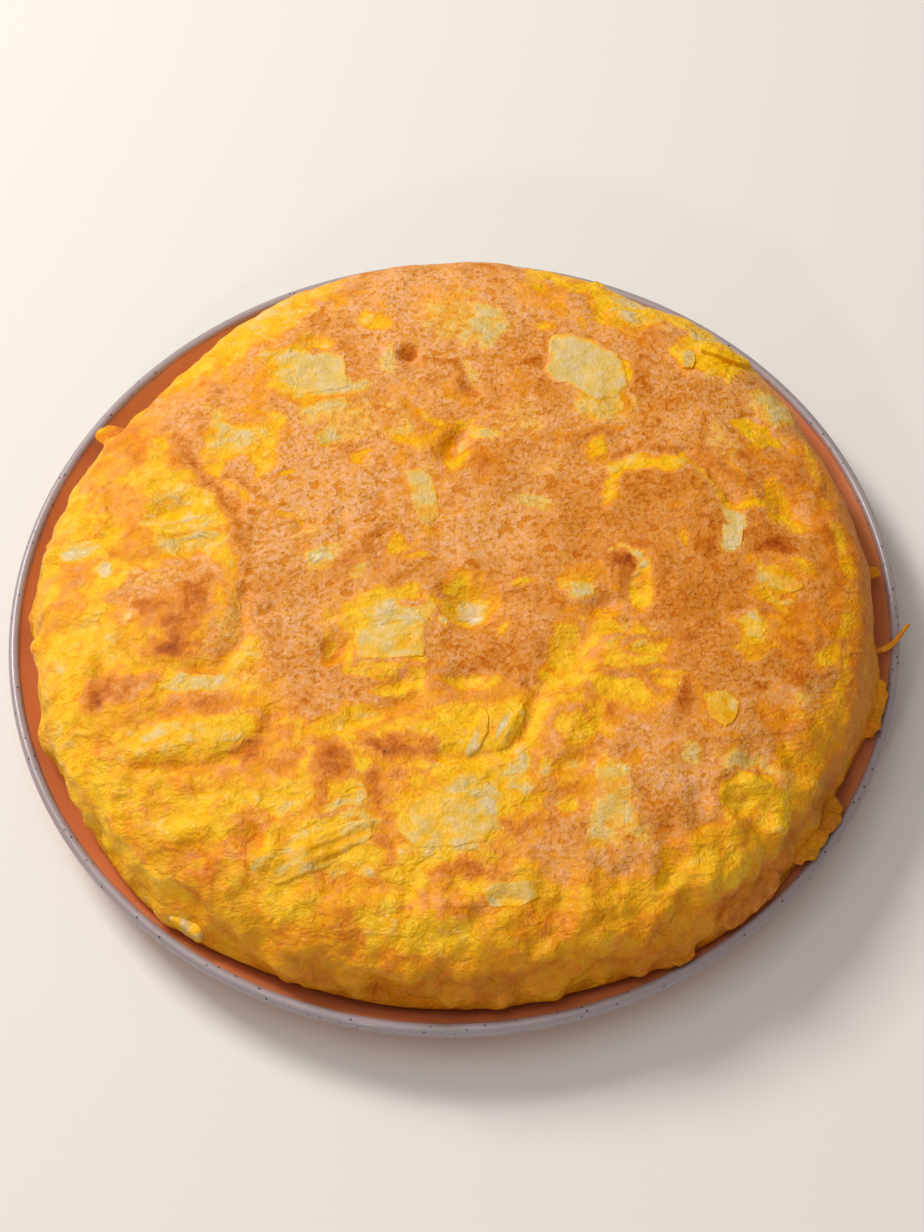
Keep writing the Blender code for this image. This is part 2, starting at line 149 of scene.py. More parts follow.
bpy.ops.object.select_all(action="DESELECT")
rings = [clay_ring(step / RINGS) for step in range(RINGS + 1)]
bpy.ops.mesh.primitive_circle_add(vertices=SIDES, radius=rings[0][0], location=(0, 0, rings[0][1]))
plate = bpy.context.object
plate.name = "turned_plate"
bpy.ops.object.transform_apply()
open_edit(plate)
for (old_radius, old_height), (radius, height) in zip(rings, rings[1:]):
    bpy.ops.mesh.extrude_edges_move()
    share = radius / old_radius
    bpy.ops.transform.resize(value=(share, share, 1), center_override=(0, 0, old_height))
    bpy.ops.transform.translate(value=(0, 0, height - old_height))
bpy.ops.mesh.edge_face_add()
bpy.ops.mesh.select_all(action="DESELECT")
bpy.ops.mesh.select_non_manifold()
bpy.ops.mesh.edge_face_add()
bpy.ops.mesh.select_all(action="SELECT")
bpy.ops.mesh.normals_make_consistent(inside=False)
bpy.ops.object.mode_set(mode="OBJECT")
bpy.ops.object.shade_smooth_by_angle(angle=math.radians(35))

# Glazed terracotta: brick red under a clear glaze, so a soft shine, and on the lip an
# opaque grey glaze with a lilac cast and a wavy edge, pitted with dark specks 0.5 to 1 mm
# across.
glaze, tree, shader = new_material("glazed_terracotta")
place = add_node(tree, "ShaderNodeTexCoord", {}).outputs["Object"]
flat = add_node(tree, "ShaderNodeVectorMath", {0: place, 1: (1, 1, 0)}, operation="MULTIPLY")
radius = add_node(tree, "ShaderNodeVectorMath", {0: flat}, operation="LENGTH")
drip = add_node(tree, "ShaderNodeTexNoise", {"Vector": place, "Scale": per_metre(11.11),
                                             "Detail": 3.0})
edge = add_node(tree, "ShaderNodeMath", {0: drip, 1: 0.0012, 2: radius.outputs["Value"]},
                operation="MULTIPLY_ADD")
lip = add_node(tree, "ShaderNodeMapRange", {"Value": edge, "From Min": 0.1270, "From Max": 0.1278},
               interpolation_type="SMOOTHSTEP")
cloud = add_node(tree, "ShaderNodeTexNoise", {"Vector": place, "Scale": per_metre(41.67),
                                              "Detail": 4.0})
clay = add_node(tree, "ShaderNodeMix", {0: cloud, 6: (*linear("#cd7346"), 1),
                                        7: (*linear("#e0905c"), 1)}, data_type="RGBA")
stone = add_node(tree, "ShaderNodeMix", {0: cloud, 6: (*linear("#8f7f80"), 1),
                                         7: (*linear("#aa9a9b"), 1)}, data_type="RGBA")
speck = add_node(tree, "ShaderNodeTexVoronoi", {"Vector": place, "Scale": per_metre(1.613)})
dark = add_node(tree, "ShaderNodeMapRange", {"Value": speck.outputs["Distance"], "From Min": 0.16,
                                             "From Max": 0.3, "To Min": 1.0, "To Max": 0.0})
chance = add_node(tree, "ShaderNodeSeparateColor", {"Color": speck.outputs["Color"]})
# About one cell in four has a speck.
some = add_node(tree, "ShaderNodeMath", {0: chance, 1: 0.72}, operation="GREATER_THAN")
spot = add_node(tree, "ShaderNodeMath", {0: dark, 1: some}, operation="MULTIPLY")
stone = add_node(tree, "ShaderNodeMix", {0: spot, 6: stone, 7: (*linear("#54484a"), 1)},
                 data_type="RGBA")
tint = add_node(tree, "ShaderNodeMix", {0: lip, 6: clay, 7: stone}, data_type="RGBA")
rough = add_node(tree, "ShaderNodeMapRange", {"Value": lip, "To Min": 0.34, "To Max": 0.42})
ripple = add_node(tree, "ShaderNodeTexNoise", {"Vector": place, "Scale": per_metre(6.25),
                                               "Detail": 2.0})
bump = add_node(tree, "ShaderNodeBump", {"Height": ripple, "Strength": 0.25, "Distance": 0.0006})
set_inputs(tree, shader, {"Base Color": tint, "Roughness": rough, "Normal": bump, "IOR": 1.52,
                          "Coat Weight": 0.3, "Coat Roughness": 0.12})
finish_piece(plate, glaze, "plate", "plate")


# The omelette
# One thick cake of set egg, fried in a round pan, so it has full shoulders, a flat
# underside and a skin that toasted where it touched the hot pan. Egg sank between the
# potatoes and left hollows, and domes where a potato lies close under the skin.

EGG_RADIUS = 0.1206
EGG_TOP = 0.0455
WIDEST_HEIGHT = 0.020
SHOULDER_HEIGHT = 0.032
SHOULDER_POWER = 4.6
BED_RADIUS = 0.103
BED_CLEARANCE = 0.0005
EDGE_LIMIT = INNER_RADIUS - 0.0004
CALM_TOP = 0.0462                   # above this a dome rises less, and never past the top
HIGHEST_TOP = 0.04712
EGG_CELLS = 312                     # along each side of the grid: about 1 mm a cell
LUMPS = ((0.9, 24, 3.0), (0.45, 10, 7.0))               # height, size in mm, seed

# Angle and half width in degrees, swelling in mm.
EDGE_SWELLS = (
    (228, 16, 4.2), (262, 18, 2.4), (275, 5, 0.8), (307, 22, 5.3), (343, 9, 3.8),
    (2, 4, 1.5), (22, 16, 0.6), (45, 12, 1.2), (141, 17, -1.8), (178, 5, 3.2), (199, 4, 2.8),
)
SHOULDER_SWELLS = (
    (136, 20, -6.5), (147, 6, -1.5), (92, 13, -1.4), (60, 7, -2.0), (22, 11, -2.4),
    (165, 8, -1.2), (312, 18, 2.0), (225, 20, 1.6),
)
# x, y, half length, half width, turn in degrees, depth.
TOP_HOLLOWS = (
    (2, 41, 7, 3.6, 62, 3.4), (5, -13, 8, 6, -35, 4.4), (31, -31, 11, 6, 56, 3.2),
    (-33, -26, 4, 3.6, 60, 3.4), (-14, -37, 6, 3, 10, 2.2), (3, -37, 5.5, 3.5, 0, 2.4),
    (42, -15, 5, 3.4, 20, 2.2), (31, -64, 6.5, 3, 15, 2.6), (29, -75, 7, 4.5, 0, 1.8),
    (75, -76, 4.5, 4, 30, 3.2), (97, 17, 8, 5, -62, 3.2), (-80, 23, 8, 3.5, 20, 2.2),
    (-56, -82, 4, 3.2, 0, 3), (-71, -83, 4, 3.4, 0, 2.2), (-11, 75, 3.2, 3, 0, 2.4),
    (52, -10, 4, 6, 0, 1.6), (-38, 82, 5, 2.4, -20, 1.8), (7, 61, 3.4, 3, 0, 1.6),
    (95, 43, 10, 4, -35, 1.8), (-74, 10, 8, 4, 0, 1.6),
)
TOP_DOMES = (
    (-77, -10, 15, 13, 20, 2.2), (-70, -52, 17, 7, 5, 2.2), (10, 30, 9, 8, 30, 1.6),
    (62, -68, 22, 14, 30, 1.4), (70, 25, 14, 9, -35, 1.4), (-40, 20, 20, 14, 0, 0.9),
    (-35, -62, 9, 8, 0, 1.2), (90, -50, 11, 6, 0, 1.2), (30, -50, 6, 9, 0, 1.2),
)
# Half width, depth, then the points of the line.
CREASES = (
    (2.4, 1.5, ((23, -41), (21, -46), (19, -53), (14, -59), (6, -61.5), (-4, -60))),
    (2.4, 1.6, ((-92, -19), (-87, -27), (-76, -30), (-66, -30), (-60, -22), (-59, -8))),
    (2.6, 1.2, ((-92, -57), (-80, -60), (-66, -60), (-54, -55), (-50, -46))),
    (2.4, 1.6, ((-32, -50), (-20, -46), (-10, -42))),
    (2.4, 1.6, ((70, 36), (77, 28), (82, 19))),
    (2.6, 0.8, ((-80, 47), (-70, 34), (-62, 20))),
)
# Angle in degrees, height, half length, half height, depth.
SIDE_DENTS = (
    (231, 33, 7, 5, 2.4), (243, 34, 6, 5, 2.2), (252, 33, 8, 5, 2.0), (259, 24, 3, 8, 1.8),
    (286, 31, 9, 4, 1.6), (300, 34, 7, 4, 2.0), (322, 31, 8, 5, 1.6), (216, 30, 6, 6, 1.4),
)
# Small pits and holes that steam left: x, y, radius, depth.
PITS = (
    (-42.5, 14.5, 1.6, 1.3), (-31, 19, 1.8, 1.0), (-22, 23, 1.6, 0.8), (-19, 12, 2.0, 1.0),
    (-55, -15, 1.5, 1.2), (-50, -12.5, 1.6, 1.2), (-34, -16, 1.3, 1.0), (44, -39, 2.0, 1.4),
    (56, -40, 2.4, 1.0), (47, -62, 2.6, 1.0), (34, 77, 1.3, 0.8), (16, 59, 1.4, 0.7),
    (24, 58, 1.3, 0.7), (84, 44, 0.9, 0.9), (88, -18, 1.3, 1.0), (3, -40, 1.2, 1.0),
    (-63, 24, 1.8, 0.9), (-50, 24, 1.5, 0.8), (-19, 25, 1.4, 0.7), (61, -52, 1.2, 0.8),
    (-35, 42, 2.2, 0.6), (20, -38.5, 1.8, 0.9), (-27, 38, 2.0, 0.7), (39, 12, 1.4, 0.8),
)


def smooth_step(value):
    value = np.clip(value, 0.0, 1.0)
    return value * value * (3 - 2 * value)


def clouds(places, size, seed):
    """Soft noise from -1 to 1 at places in mm, with lumps of a size in mm."""
    scaled = np.asarray(places, float) / size
    cell = np.floor(scaled).astype(np.int64)
    part = scaled - cell
    part = part * part * part * (part * (part * 6 - 15) + 10)
    total = np.zeros(len(scaled))
    for corner in itertools.product((0, 1), repeat=scaled.shape[1]):
        mixed = np.full(len(scaled), seed * 374761393, np.int64)
        share = np.ones(len(scaled))
        for axis, step in enumerate(corner):
            mixed ^= (cell[:, axis] + step) * (73856093, 19349663, 83492791)[axis]
            share *= part[:, axis] if step else 1 - part[:, axis]
        mixed = (mixed ^ (mixed >> 13)) * 1274126177 & 0xFFFFFFFF
        mixed = (mixed ^ (mixed >> 15)) * 2246822519 & 0xFFFFFFFF
        total += share * ((mixed >> 8 & 0xFFFF) / 32767.5 - 1)
    return total


def swell(degrees, swells):
    """Sum of the swellings of an outline at angles in degrees, in metres."""
    total = np.zeros_like(degrees)
    for middle, half_width, height in swells:
        away = (degrees - middle + 180) % 360 - 180
        total += height * 0.001 * np.exp(-(away / half_width) ** 2)
    return total


def turn_places(x, y, turn):
    """How far places lie along a direction in degrees, and across it."""
    cosine, sine = math.cos(math.radians(turn)), math.sin(math.radians(turn))
    return x * cosine + y * sine, y * cosine - x * sine


def oval(x, y, middle_x, middle_y, half_length, half_width, turn=0):
    """Squared distance from an oval's middle, 1 on its outline, at places in mm."""
    along, across = turn_places(x - middle_x, y - middle_y, turn)
    return (along / half_length) ** 2 + (across / half_width) ** 2


def along_side(degrees, middle):
    """Distance in mm round the omelette's side from an angle in degrees."""
    return np.radians((degrees - middle + 180) % 360 - 180) * EGG_RADIUS * 1000


def line_distance(x, y, points):
    """Distance in mm from places in mm to a line through points in mm."""
    nearest = np.full(np.shape(x), np.inf)
    for (ax, ay), (bx, by) in zip(points, points[1:]):
        run_x, run_y = bx - ax, by - ay
        part = np.clip(((x - ax) * run_x + (y - ay) * run_y) / (run_x ** 2 + run_y ** 2), 0, 1)
        nearest = np.minimum(nearest, np.hypot(x - ax - run_x * part, y - ay - run_y * part))
    return nearest


def relief(place, degrees):
    """How far the skin stands out of the plain section, in metres."""
    x, y, z = place.T * 1000
    height = np.zeros(len(x))
    solid = place * 1000
    for rise, size, seed in LUMPS:
        shift = Vector((seed, seed, seed))
        height += rise * np.array([noise.noise(Vector(point) / size + shift)
                                   for point in solid.tolist()])
    for row in TOP_HOLLOWS:
        height -= row[5] * np.exp(-oval(x, y, *row[:5]) ** 1.3)
    for row in TOP_DOMES:
        height += row[5] * np.exp(-oval(x, y, *row[:5]) ** 1.3)
    for half_width, depth, points in CREASES:
        height -= depth * np.exp(-(line_distance(x, y, points) / half_width) ** 2)
    for middle_x, middle_y, radius, depth in PITS:
        height -= depth * np.exp(-oval(x, y, middle_x, middle_y, radius, radius))
    for middle, level, half_length, half_height, depth in SIDE_DENTS:
        away = along_side(degrees, middle) / half_length
        height -= depth * np.exp(-away ** 2 - ((z - level) / half_height) ** 2)
    # The wet egg of the near and left edge is lumpy and folded where it slid down the wall.
    reach = smooth_step((np.hypot(x, y) - 80) / 22)
    near = smooth_step((60 - y - 0.8 * x) / 60)
    lumps = 1.5 * clouds(solid, 8.0, 21) + clouds(solid, 4.6, 22) + 0.35 * clouds(solid, 3.0, 20)
    height += reach * (0.3 + 0.7 * near) * lumps
    # The rest is only a little uneven.
    ripples = 0.24 * clouds(solid, 5.0, 23) + 0.10 * clouds(solid, 3.2, 24)
    height += (1 - 0.4 * reach) * ripples
    return height * 0.001


def egg_section(steps=400):
    """The section from the top's middle down to the flat bed: radius, height, length along."""
    turn = np.linspace(0, math.pi / 2, steps)
    radius = EGG_RADIUS * np.sin(turn) ** (2 / SHOULDER_POWER)
    rise = np.cos(turn).clip(0) ** (2 / SHOULDER_POWER)
    height = WIDEST_HEIGHT + (EGG_TOP - WIDEST_HEIGHT) * rise
    foot = EGG_RADIUS - 0.4 * (INNER_RADIUS - EGG_RADIUS)
    under = np.linspace(foot, BED_RADIUS, 12)
    radius = np.concatenate([radius, under])
    height = np.concatenate([height, plate_inside(under) + BED_CLEARANCE])
    along = np.concatenate([[0], np.cumsum(np.hypot(np.diff(radius), np.diff(height)))])
    return radius, height, along / along[-1]


def egg_skin(share, angle):
    """Points of the omelette's skin at shares of the section and angles around it."""
    radii, heights, along = egg_section()
    radius, height = np.interp(share, along, radii), np.interp(share, along, heights)
    ahead, behind = np.minimum(share + 0.002, 1), np.maximum(share - 0.002, 0)
    run = np.interp(ahead, along, radii) - np.interp(behind, along, radii)
    drop = np.interp(behind, along, heights) - np.interp(ahead, along, heights)
    length = np.hypot(run, drop)
    out, rise = drop / length, run / length
    shoulder = smooth_step((height - WIDEST_HEIGHT) / (SHOULDER_HEIGHT - WIDEST_HEIGHT))
    reach = smooth_step((radius - 0.6 * EGG_RADIUS) / (0.35 * EGG_RADIUS))
    degrees = np.degrees(angle) % 360
    grow = (swell(degrees, EDGE_SWELLS) * (1 - shoulder)
            + swell(degrees, SHOULDER_SWELLS) * shoulder)
    above_bed = smooth_step((height - plate_inside(radius) - BED_CLEARANCE) / 0.004)
    under = height < WIDEST_HEIGHT
    low = np.minimum(radius + grow * reach * (radius - BED_RADIUS) / (EGG_RADIUS - BED_RADIUS),
                     EDGE_LIMIT)
    high = radius + grow * reach
    place = np.stack([high * np.cos(angle), high * np.sin(angle), height], 1)
    lift = relief(place, degrees) * above_bed
    high, raised = high + out * lift, height + rise * lift
    high = np.minimum(high, EDGE_LIMIT + np.maximum(0, raised - PLATE_HEIGHT) * 0.5)
    flat = np.where(under, low, high)
    raised = raised - 0.6 * np.maximum(0, raised - CALM_TOP)
    raised = np.minimum(raised, HIGHEST_TOP)
    height = np.where(under, np.maximum(height, plate_inside(low) + BED_CLEARANCE), raised)
    return np.stack([flat * np.cos(angle), flat * np.sin(angle), height], 1)


def disc_places(across, along):
    """Turn places in a square from -1 to 1 into shares of a radius and angles."""
    wide = np.abs(across) > np.abs(along)
    safe_across = np.where(across == 0, 1e-9, across)
    safe_along = np.where(along == 0, 1e-9, along)
    share = np.where(wide, across, along)
    angle = np.where(wide, math.pi / 4 * along / safe_across,
                     math.pi / 2 - math.pi / 4 * across / safe_along)
    return np.abs(share), np.where(share < 0, angle + math.pi, angle)


def corners(piece):
    """The places of a piece's points as an array."""
    places = np.empty(len(piece.data.vertices) * 3)
    piece.data.vertices.foreach_get("co", places)
    return places.reshape(-1, 3)


def move_corners(piece, places):
    piece.data.vertices.foreach_set("co", np.ascontiguousarray(places, float).ravel())
    piece.data.update()


bpy.ops.object.select_all(action="DESELECT")
bpy.ops.mesh.primitive_grid_add(x_subdivisions=EGG_CELLS, y_subdivisions=EGG_CELLS, size=2)
egg = bpy.context.object
egg.name = "omelette_egg"
square = corners(egg)
move_corners(egg, egg_skin(*disc_places(square[:, 0], square[:, 1])))
open_edit(egg, "DESELECT")
bpy.ops.mesh.select_non_manifold()
bpy.ops.mesh.edge_face_add()
bpy.ops.mesh.select_all(action="SELECT")
bpy.ops.mesh.normals_make_consistent(inside=False)
bpy.ops.object.mode_set(mode="OBJECT")
bpy.ops.object.shade_smooth()

# What the heat did to the skin, patch by patch. A tone says how far the skin browned, how
# much pale potato or onion shows in it, how deep its yellow is, which also carries the
# painted shade, and whether it is dull porous crust (1) or smooth wet egg (0).
TONES = {
    "yolk": (0.03, 0.0, 0.0, 0.0), "bright": (0.0, 0.28, 0.0, 0.0), "deep": (0.1, 0.0, 0.55, 0.0),
    "amber": (0.18, 0.0, 1.05, 0.0), "pale": (0.04, 0.45, 0.0, 0.0),
    "cream": (0.05, 0.72, 0.0, 0.0), "white": (0.05, 1.35, -0.1, 0.0),
    "olive": (0.05, 0.5, 0.32, 0.0), "blush": (0.32, 0.1, 0.0, 0.4),
    "orange": (0.26, 0.0, 0.35, 0.3), "skin": (0.47, 0.0, 0.28, 1.0),
    "rose": (0.43, 0.0, -0.05, 1.0), "wheat": (0.38, 0.42, 0.25, 0.9),
    "warm": (0.54, 0.0, 0.5, 1.0), "tan": (0.64, 0.0, 0.46, 1.0), "brown": (0.74, 0.0, 0.45, 0.8),
    "dark": (0.84, 0.0, 0.5, 0.4), "burnt": (1.05, 0.0, 0.6, 0.2),
    "toast": (0.48, 0.0, 0.2, 0.25), "seared": (0.66, 0.0, 0.35, 0.2),
    "potato": (0.1, 0.88, -0.12, 0.1), "rim": (0.43, 0.0, 0.75, 0.2),
    "lilac": (0.42, 0.85, 0.1, 0.5),
}
CRUST_OUTLINE = (
    (-45, 104), (-20, 122), (5, 126), (30, 124), (42, 106), (44, 97), (40, 88), (50, 84),
    (60, 86), (72, 90), (90, 82), (103, 66), (113, 42), (119, 20), (121, 0), (119, -20),
    (113, -38), (104, -52), (94, -62), (84, -70), (72, -80), (60, -90), (45, -97), (28, -98),
    (18, -92), (16, -84), (20, -72), (20, -58), (23, -46), (22, -41), (8, -42), (-8, -44),
    (-20, -44), (-30, -46), (-40, -52), (-48, -50), (-54, -42), (-53, -32), (-57, -22),
    (-61, -10), (-61, 5), (-62, 18), (-68, 28), (-74, 38), (-80, 48), (-88, 56), (-86, 66),
    (-76, 68), (-66, 74), (-60, 84), (-56, 95),
)
# Tone, how strong, how soft its edge is in mm, then patches: x, y, half length, half
# width and, where it lies askew, its turn in degrees.
PATCHES = (
    ("rose", 0.85, 8, (
        (-45, 34, 10, 8), (-31, -14, 8, 5), (-43, -17, 8, 8), (-4, 100, 14, 9), (-2, 88, 10, 8),
        (-4, 98, 20, 14), (28, 94, 10, 12), (0, 70, 12, 8), (-40, 33, 24, 18), (-38, 12, 22, 12),
        (-50, 58, 12, 14), (8, 12, 16, 10), (-18, 74, 5, 13, 5), (-80, 60, 7, 8),
        (60, -70, 10, 6, 10), (-30, 92, 14, 7))),
    ("warm", 0.8, 10, (
        (58, 14, 30, 16), (74, -22, 30, 26), (100, 0, 10, 30), (14, -30, 10, 9),
        (100, -42, 14, 12), (35, -14, 14, 8), (45, -85, 20, 9, 20))),
    ("wheat", 0.9, 5, (
        (-24, 53, 20, 7, -6), (-34, 62, 12, 4), (-40, 15, 6, 5), (-36, 1, 8, 5), (-32, -14, 9, 6),
        (-6, 22, 5, 10), (-57, -33, 5, 5), (-28, 53, 18, 7, -6), (8, 87, 11, 11),
        (-12, 46, 9, 4, -10), (-44, 90, 7, 4, 20), (-36, 6, 8, 6), (-33, 0, 5, 3),
        (24, 50, 8, 6, -10), (7, 89, 12, 12), (7, 89, 9, 9), (38, -8, 8, 6), (50, -22, 9, 4, -5),
        (40, -66, 5, 7), (42, -84, 8, 9), (78, -64, 11, 4, -8), (96, -46, 9, 6),
        (80, 38, 5, 10, 10), (30, 32, 4, 3), (92, -10, 8, 11, 15), (97, 55, 6, 8, 30),
        (-62, 50, 9, 10), (14, -70, 5, 4), (62, -60, 6, 5), (-69, -37, 9, 4))),
    ("blush", 0.85, 7, (
        (40, -40, 18, 12, -15), (30, -54, 7, 10), (-6, -40, 16, 5), (2, 96, 14, 9),
        (30, 98, 9, 8), (-6, 60, 10, 5))),
    ("orange", 0.7, 5, (
        (46, -42, 14, 9, -15), (-8, -42, 12, 2.4, 4), (34, -62, 8, 3, 10))),
    ("tan", 0.65, 6, (
        (98, 30, 9, 8), (56, -2, 6, 6), (57, -38, 5, 4), (46, -10, 7, 4), (35, -4, 8, 3),
        (-58, 22, 3, 8), (83, -18, 5, 3), (60, 24, 10, 6), (88, 32, 4, 12), (-52, 58, 4, 9),
        (-57, 86, 3, 7), (42, 0, 12, 5, 5), (70, -16, 13, 10), (62, -46, 6, 9), (98, -30, 9, 8),
        (10, -34, 9, 4), (76, 12, 5, 8), (-30, 1, 8, 4, 25), (-70, -44, 12, 5), (88, 8, 12, 8),
        (-62, 30, 6, 6), (-38, 88, 10, 3, 10), (58, 64, 2.4, 10, -8), (30, 60, 6, 3, -20),
        (70, -60, 12, 3, 10), (52, -40, 5, 3))),
    ("pale", 0.85, 5, (
        (-4, -87, 15, 9), (10, -67, 9, 5, 10), (84, 76, 9, 4, -12), (-55, 46, 6, 12),
        (-48, 71, 8, 9), (-104, -18, 9, 9), (-76, 26, 13, 8), (-63, 46, 7, 8),
        (-75, -51, 16, 5, 4), (-56, -40, 4, 6), (-62, -28, 8, 4), (-66, 98, 5, 12, 30),
        (-50, 101, 13, 8, 20), (58, 88, 8, 5), (-16, 7, 4, 5), (4, -12, 8, 7, -20),
        (-18, -12, 9, 4, 15), (10, -70, 9, 5), (-30, -49, 9, 3, 20), (0, -52, 12, 7, 10),
        (-45, -68, 4, 8, -35), (53, -9, 3, 9, -10), (-12, 44, 7, 3, -10), (52, 32, 9, 2.6, 12),
        (32, 110, 8, 5), (-20, 90, 5, 5), (96, 16, 4, 9, 20), (-24, -18, 13, 10),
        (34, -34, 9, 5, 50), (84, -26, 6, 7), (-45, -60, 5, 6, 30))),
    ("potato", 0.6, 5, (
        (46, 54, 9, 8, -20), (-37, 61, 10, 5), (96, 54, 4, 6, 20), (78, -65, 10, 4, -8),
        (40, -76, 5, 12))),
    ("potato", 0.8, 3, (
        (-66, 48, 4, 7), (-74, 12, 13, 6), (12, 86, 5, 8), (97, 52, 5, 4), (-26, -96, 4, 4),
        (94, 42, 7, 4, -20), (-20, -17, 12, 6, -8), (4, -72, 10, 6), (8, -82, 6, 7),
        (-70, -35, 10, 3.4), (-47, 73, 6, 7), (92, -12, 6, 8, 20), (66, -91, 5, 4, 20),
        (8, -100, 8, 4, 10), (-69, -36, 7, 3), (-35, 47, 5, 3), (-38, 5, 4, 3.5),
        (42, -16, 4, 2.4, 20), (36, -9, 6, 4))),
    ("olive", 0.9, 3, (
        (-61.5, -12, 2, 10), (-66, -24, 9, 4, 20), (-92, -20, 4, 7, 20), (-75, 9, 14, 3),
        (-81, 27, 5, 4), (46, 23, 3, 5, -20), (92, -51, 9, 3, 8), (79, 5, 4, 4, 20),
        (98, -4, 5, 4, -30), (44, -15, 4.5, 2.5, 15), (-62, 4, 3, 8), (-70, 44, 4, 8),
        (28, -32, 4, 8, -25), (8, -16, 4, 4, 30), (-33, -27, 3, 4, 30), (31, -64, 5, 3, 15),
        (16, -96, 7, 5, -20), (-12, -36, 7, 2.6, 5))),
    ("blush", 0.8, 4, (
        (-99, 30, 10, 6, 30), (-105, 4, 8, 5, 10), (-86, 56, 5, 8), (-74, 68, 10, 5, 30),
        (-40, -76, 8, 4), (-52, -62, 9, 4, 40), (-92, -33, 11, 5), (-66, -64, 12, 2.4, 10),
        (-18, -70, 6, 6), (12, -88, 8, 4), (-2, -100, 8, 4), (-58, -84, 6, 3), (-50, -42, 7, 8),
        (-28, -58, 12, 4, 15), (-60, 66, 7, 9), (26, -54, 4, 8), (-84, -44, 9, 3),
        (66, 104, 8, 5, -20), (-92, 22, 5, 8, 20), (-110, -6, 5, 8), (-34, -94, 7, 3, 20),
        (30, -92, 12, 4), (-95, 40, 13, 4, 30), (-48, 108, 9, 4, 20), (-100, -48, 6, 4),
        (-85, -70, 5, 3, 30), (2, -104, 12, 3))),
    ("orange", 0.8, 3, (
        (-108, 5, 10, 3, 10), (-79, 41, 11, 2.5, -8), (-58, 57, 3, 7), (-88, -33, 8, 4),
        (-86, -58.5, 9, 1.8), (-73, -60, 11, 1.6, 4), (-96, 45, 12, 3, 25), (57, 84, 3, 7),
        (35, 100, 5, 8), (-6, -44, 11, 2, 12), (0, -35, 6, 2.4), (53, 58, 2, 9, -10),
        (-34, 101, 10, 4, 10), (-92, -5, 12, 2.4, 10), (109, 30, 6, 14), (110, -40, 5, 12, -20),
        (-70, -1, 9, 2), (-25, -33, 16, 1.6), (-27, 40, 3, 3), (-24, 12, 5, 1.6, 20),
        (28, -76, 6, 5), (37, -38, 14, 1.6, 20), (-4, 42, 2.4, 6, 20), (44, 36, 4, 4),
        (-50, -54, 3, 9, -30), (-20, -64, 4, 9), (10, -40, 14, 1.6, 4), (-30, 61, 14, 1.5, -4),
        (4, 62, 5, 6), (22, 62, 4, 5))),
    ("rim", 0.85, 6, (
        (113, 4, 9, 54), (99, -24, 9, 13), (98, 29, 8, 7), (52, -4, 5, 6), (108, 34, 6, 14, 10))),
    ("bright", 0.95, 4, (
        (-90, 46, 8, 4, -40), (86, 76, 10, 14, -25), (76, 90, 9, 9), (58, 98, 13, 7, -35),
        (72, 74, 5, 6), (40, -27, 15, 7, -8), (35, -47, 11, 7, -15), (-104, -41, 8, 8))),
    ("deep", 0.8, 4, (
        (31, -73, 8, 5), (57, -39, 7, 6), (98, -30, 6, 6), (-71, -19, 5, 6), (35, -18, 6, 4),
        (36, -5, 6, 3), (88, -11, 5, 5))),
    ("amber", 0.8, 4, (
        (-98, 55, 12, 6, -55), (-70, -90, 9, 4, -30), (26, -108, 14, 3, 5),
        (-36, -108, 8, 3, -8))),
    ("yolk", 0.9, 2, (
        (110, -26, 1.8, 14, -8), (112, 6, 1.6, 12, 4), (107, 34, 2, 12, 8),
        (104, -46, 2, 11, -25), (92, 44, 8, 4, -35), (46, -44, 11, 3, -15))),
    ("yolk", 0.95, 3, (
        (40, 105, 9, 6), (54, 66, 1.8, 7), (2, -47, 13, 3, 8), (13, -62, 10, 3, 15),
        (68, -86, 14, 4, 38), (-104, 16, 8, 3), (-98, 12, 8, 2), (-24, 41, 3, 1.4),
        (86, 24, 7, 1.6, -60), (4, 49, 7, 1.4, 20), (-70, 22, 13, 2, 4), (-66, 34, 3, 5, -20),
        (-57, 40, 2, 3), (88, 45, 8, 3, -32))),
    ("deep", 0.8, 4, (
        # Painted shade: the patches at (74, -84), (94, -58) and (60, -88) lie on the lower right
        # side wall, which faces away from the lights.
        (-98, 54, 10, 5, -40), (-80, -43, 6, 3), (74, -84, 16, 7, 38), (30, -104, 20, 6, 10),
        (94, -58, 12, 5, 30), (99, -27, 8, 8), (-28, -99, 8, 5), (-74, -21, 9, 3),
        (-56, -82, 4, 3), (-72, -84, 4.5, 3.4), (-45, -103, 7, 3, 10), (-34, -106, 6, 3),
        (-62, -97, 5, 4), (31, -66, 6, 2, 15), (47, -62, 3, 2), (44, -39.5, 2, 1.8),
        (1, -7, 5, 2, 10), (76, -77, 4, 3), (40, 43, 9, 1.4, 5), (-95, -45, 8, 4),
        (-107, -50, 2, 6), (-14, -35, 6, 1.4, 10), (-34, -29, 4, 2, 40), (-12, -40, 6, 1.4, 5),
        (38, -36, 6, 1.4, 40), (60, -88, 6, 3, 40), (-57, -57, 8, 1.4, 6), (90, 36, 8, 1.4, -40),
        (85, -30, 4, 1.4, 10))),
    ("cream", 0.85, 2, (
        (58, 89, 7, 4, -20), (78, 82, 4, 5), (-34, 62, 9, 4), (-106, 13, 8, 3),
        (-75, 19.5, 12, 1.2, 2), (-90, -12, 2.4, 5, 10), (-31, -74, 9, 2.6, 5),
        (58, 32.5, 9, 1.2, 10), (-98, 2, 4, 3, -20), (76, 26, 1.2, 9, 32), (-45, -72, 5, 2.4, 30),
        (18, -62, 4, 5), (11, 45, 5, 2, -20), (-80, -49, 7, 2, 10), (36, -20, 6, 1.4, 20),
        (-20, -16, 9, 3, -10), (0, -75, 7, 3, 10), (84, -23, 4, 4, 20), (60, 96, 6, 3, -30),
        (52, -12, 1.6, 6, -10), (-76, -36, 6, 1.4), (12, 88, 3, 5), (-45, -56, 5, 2, 30),
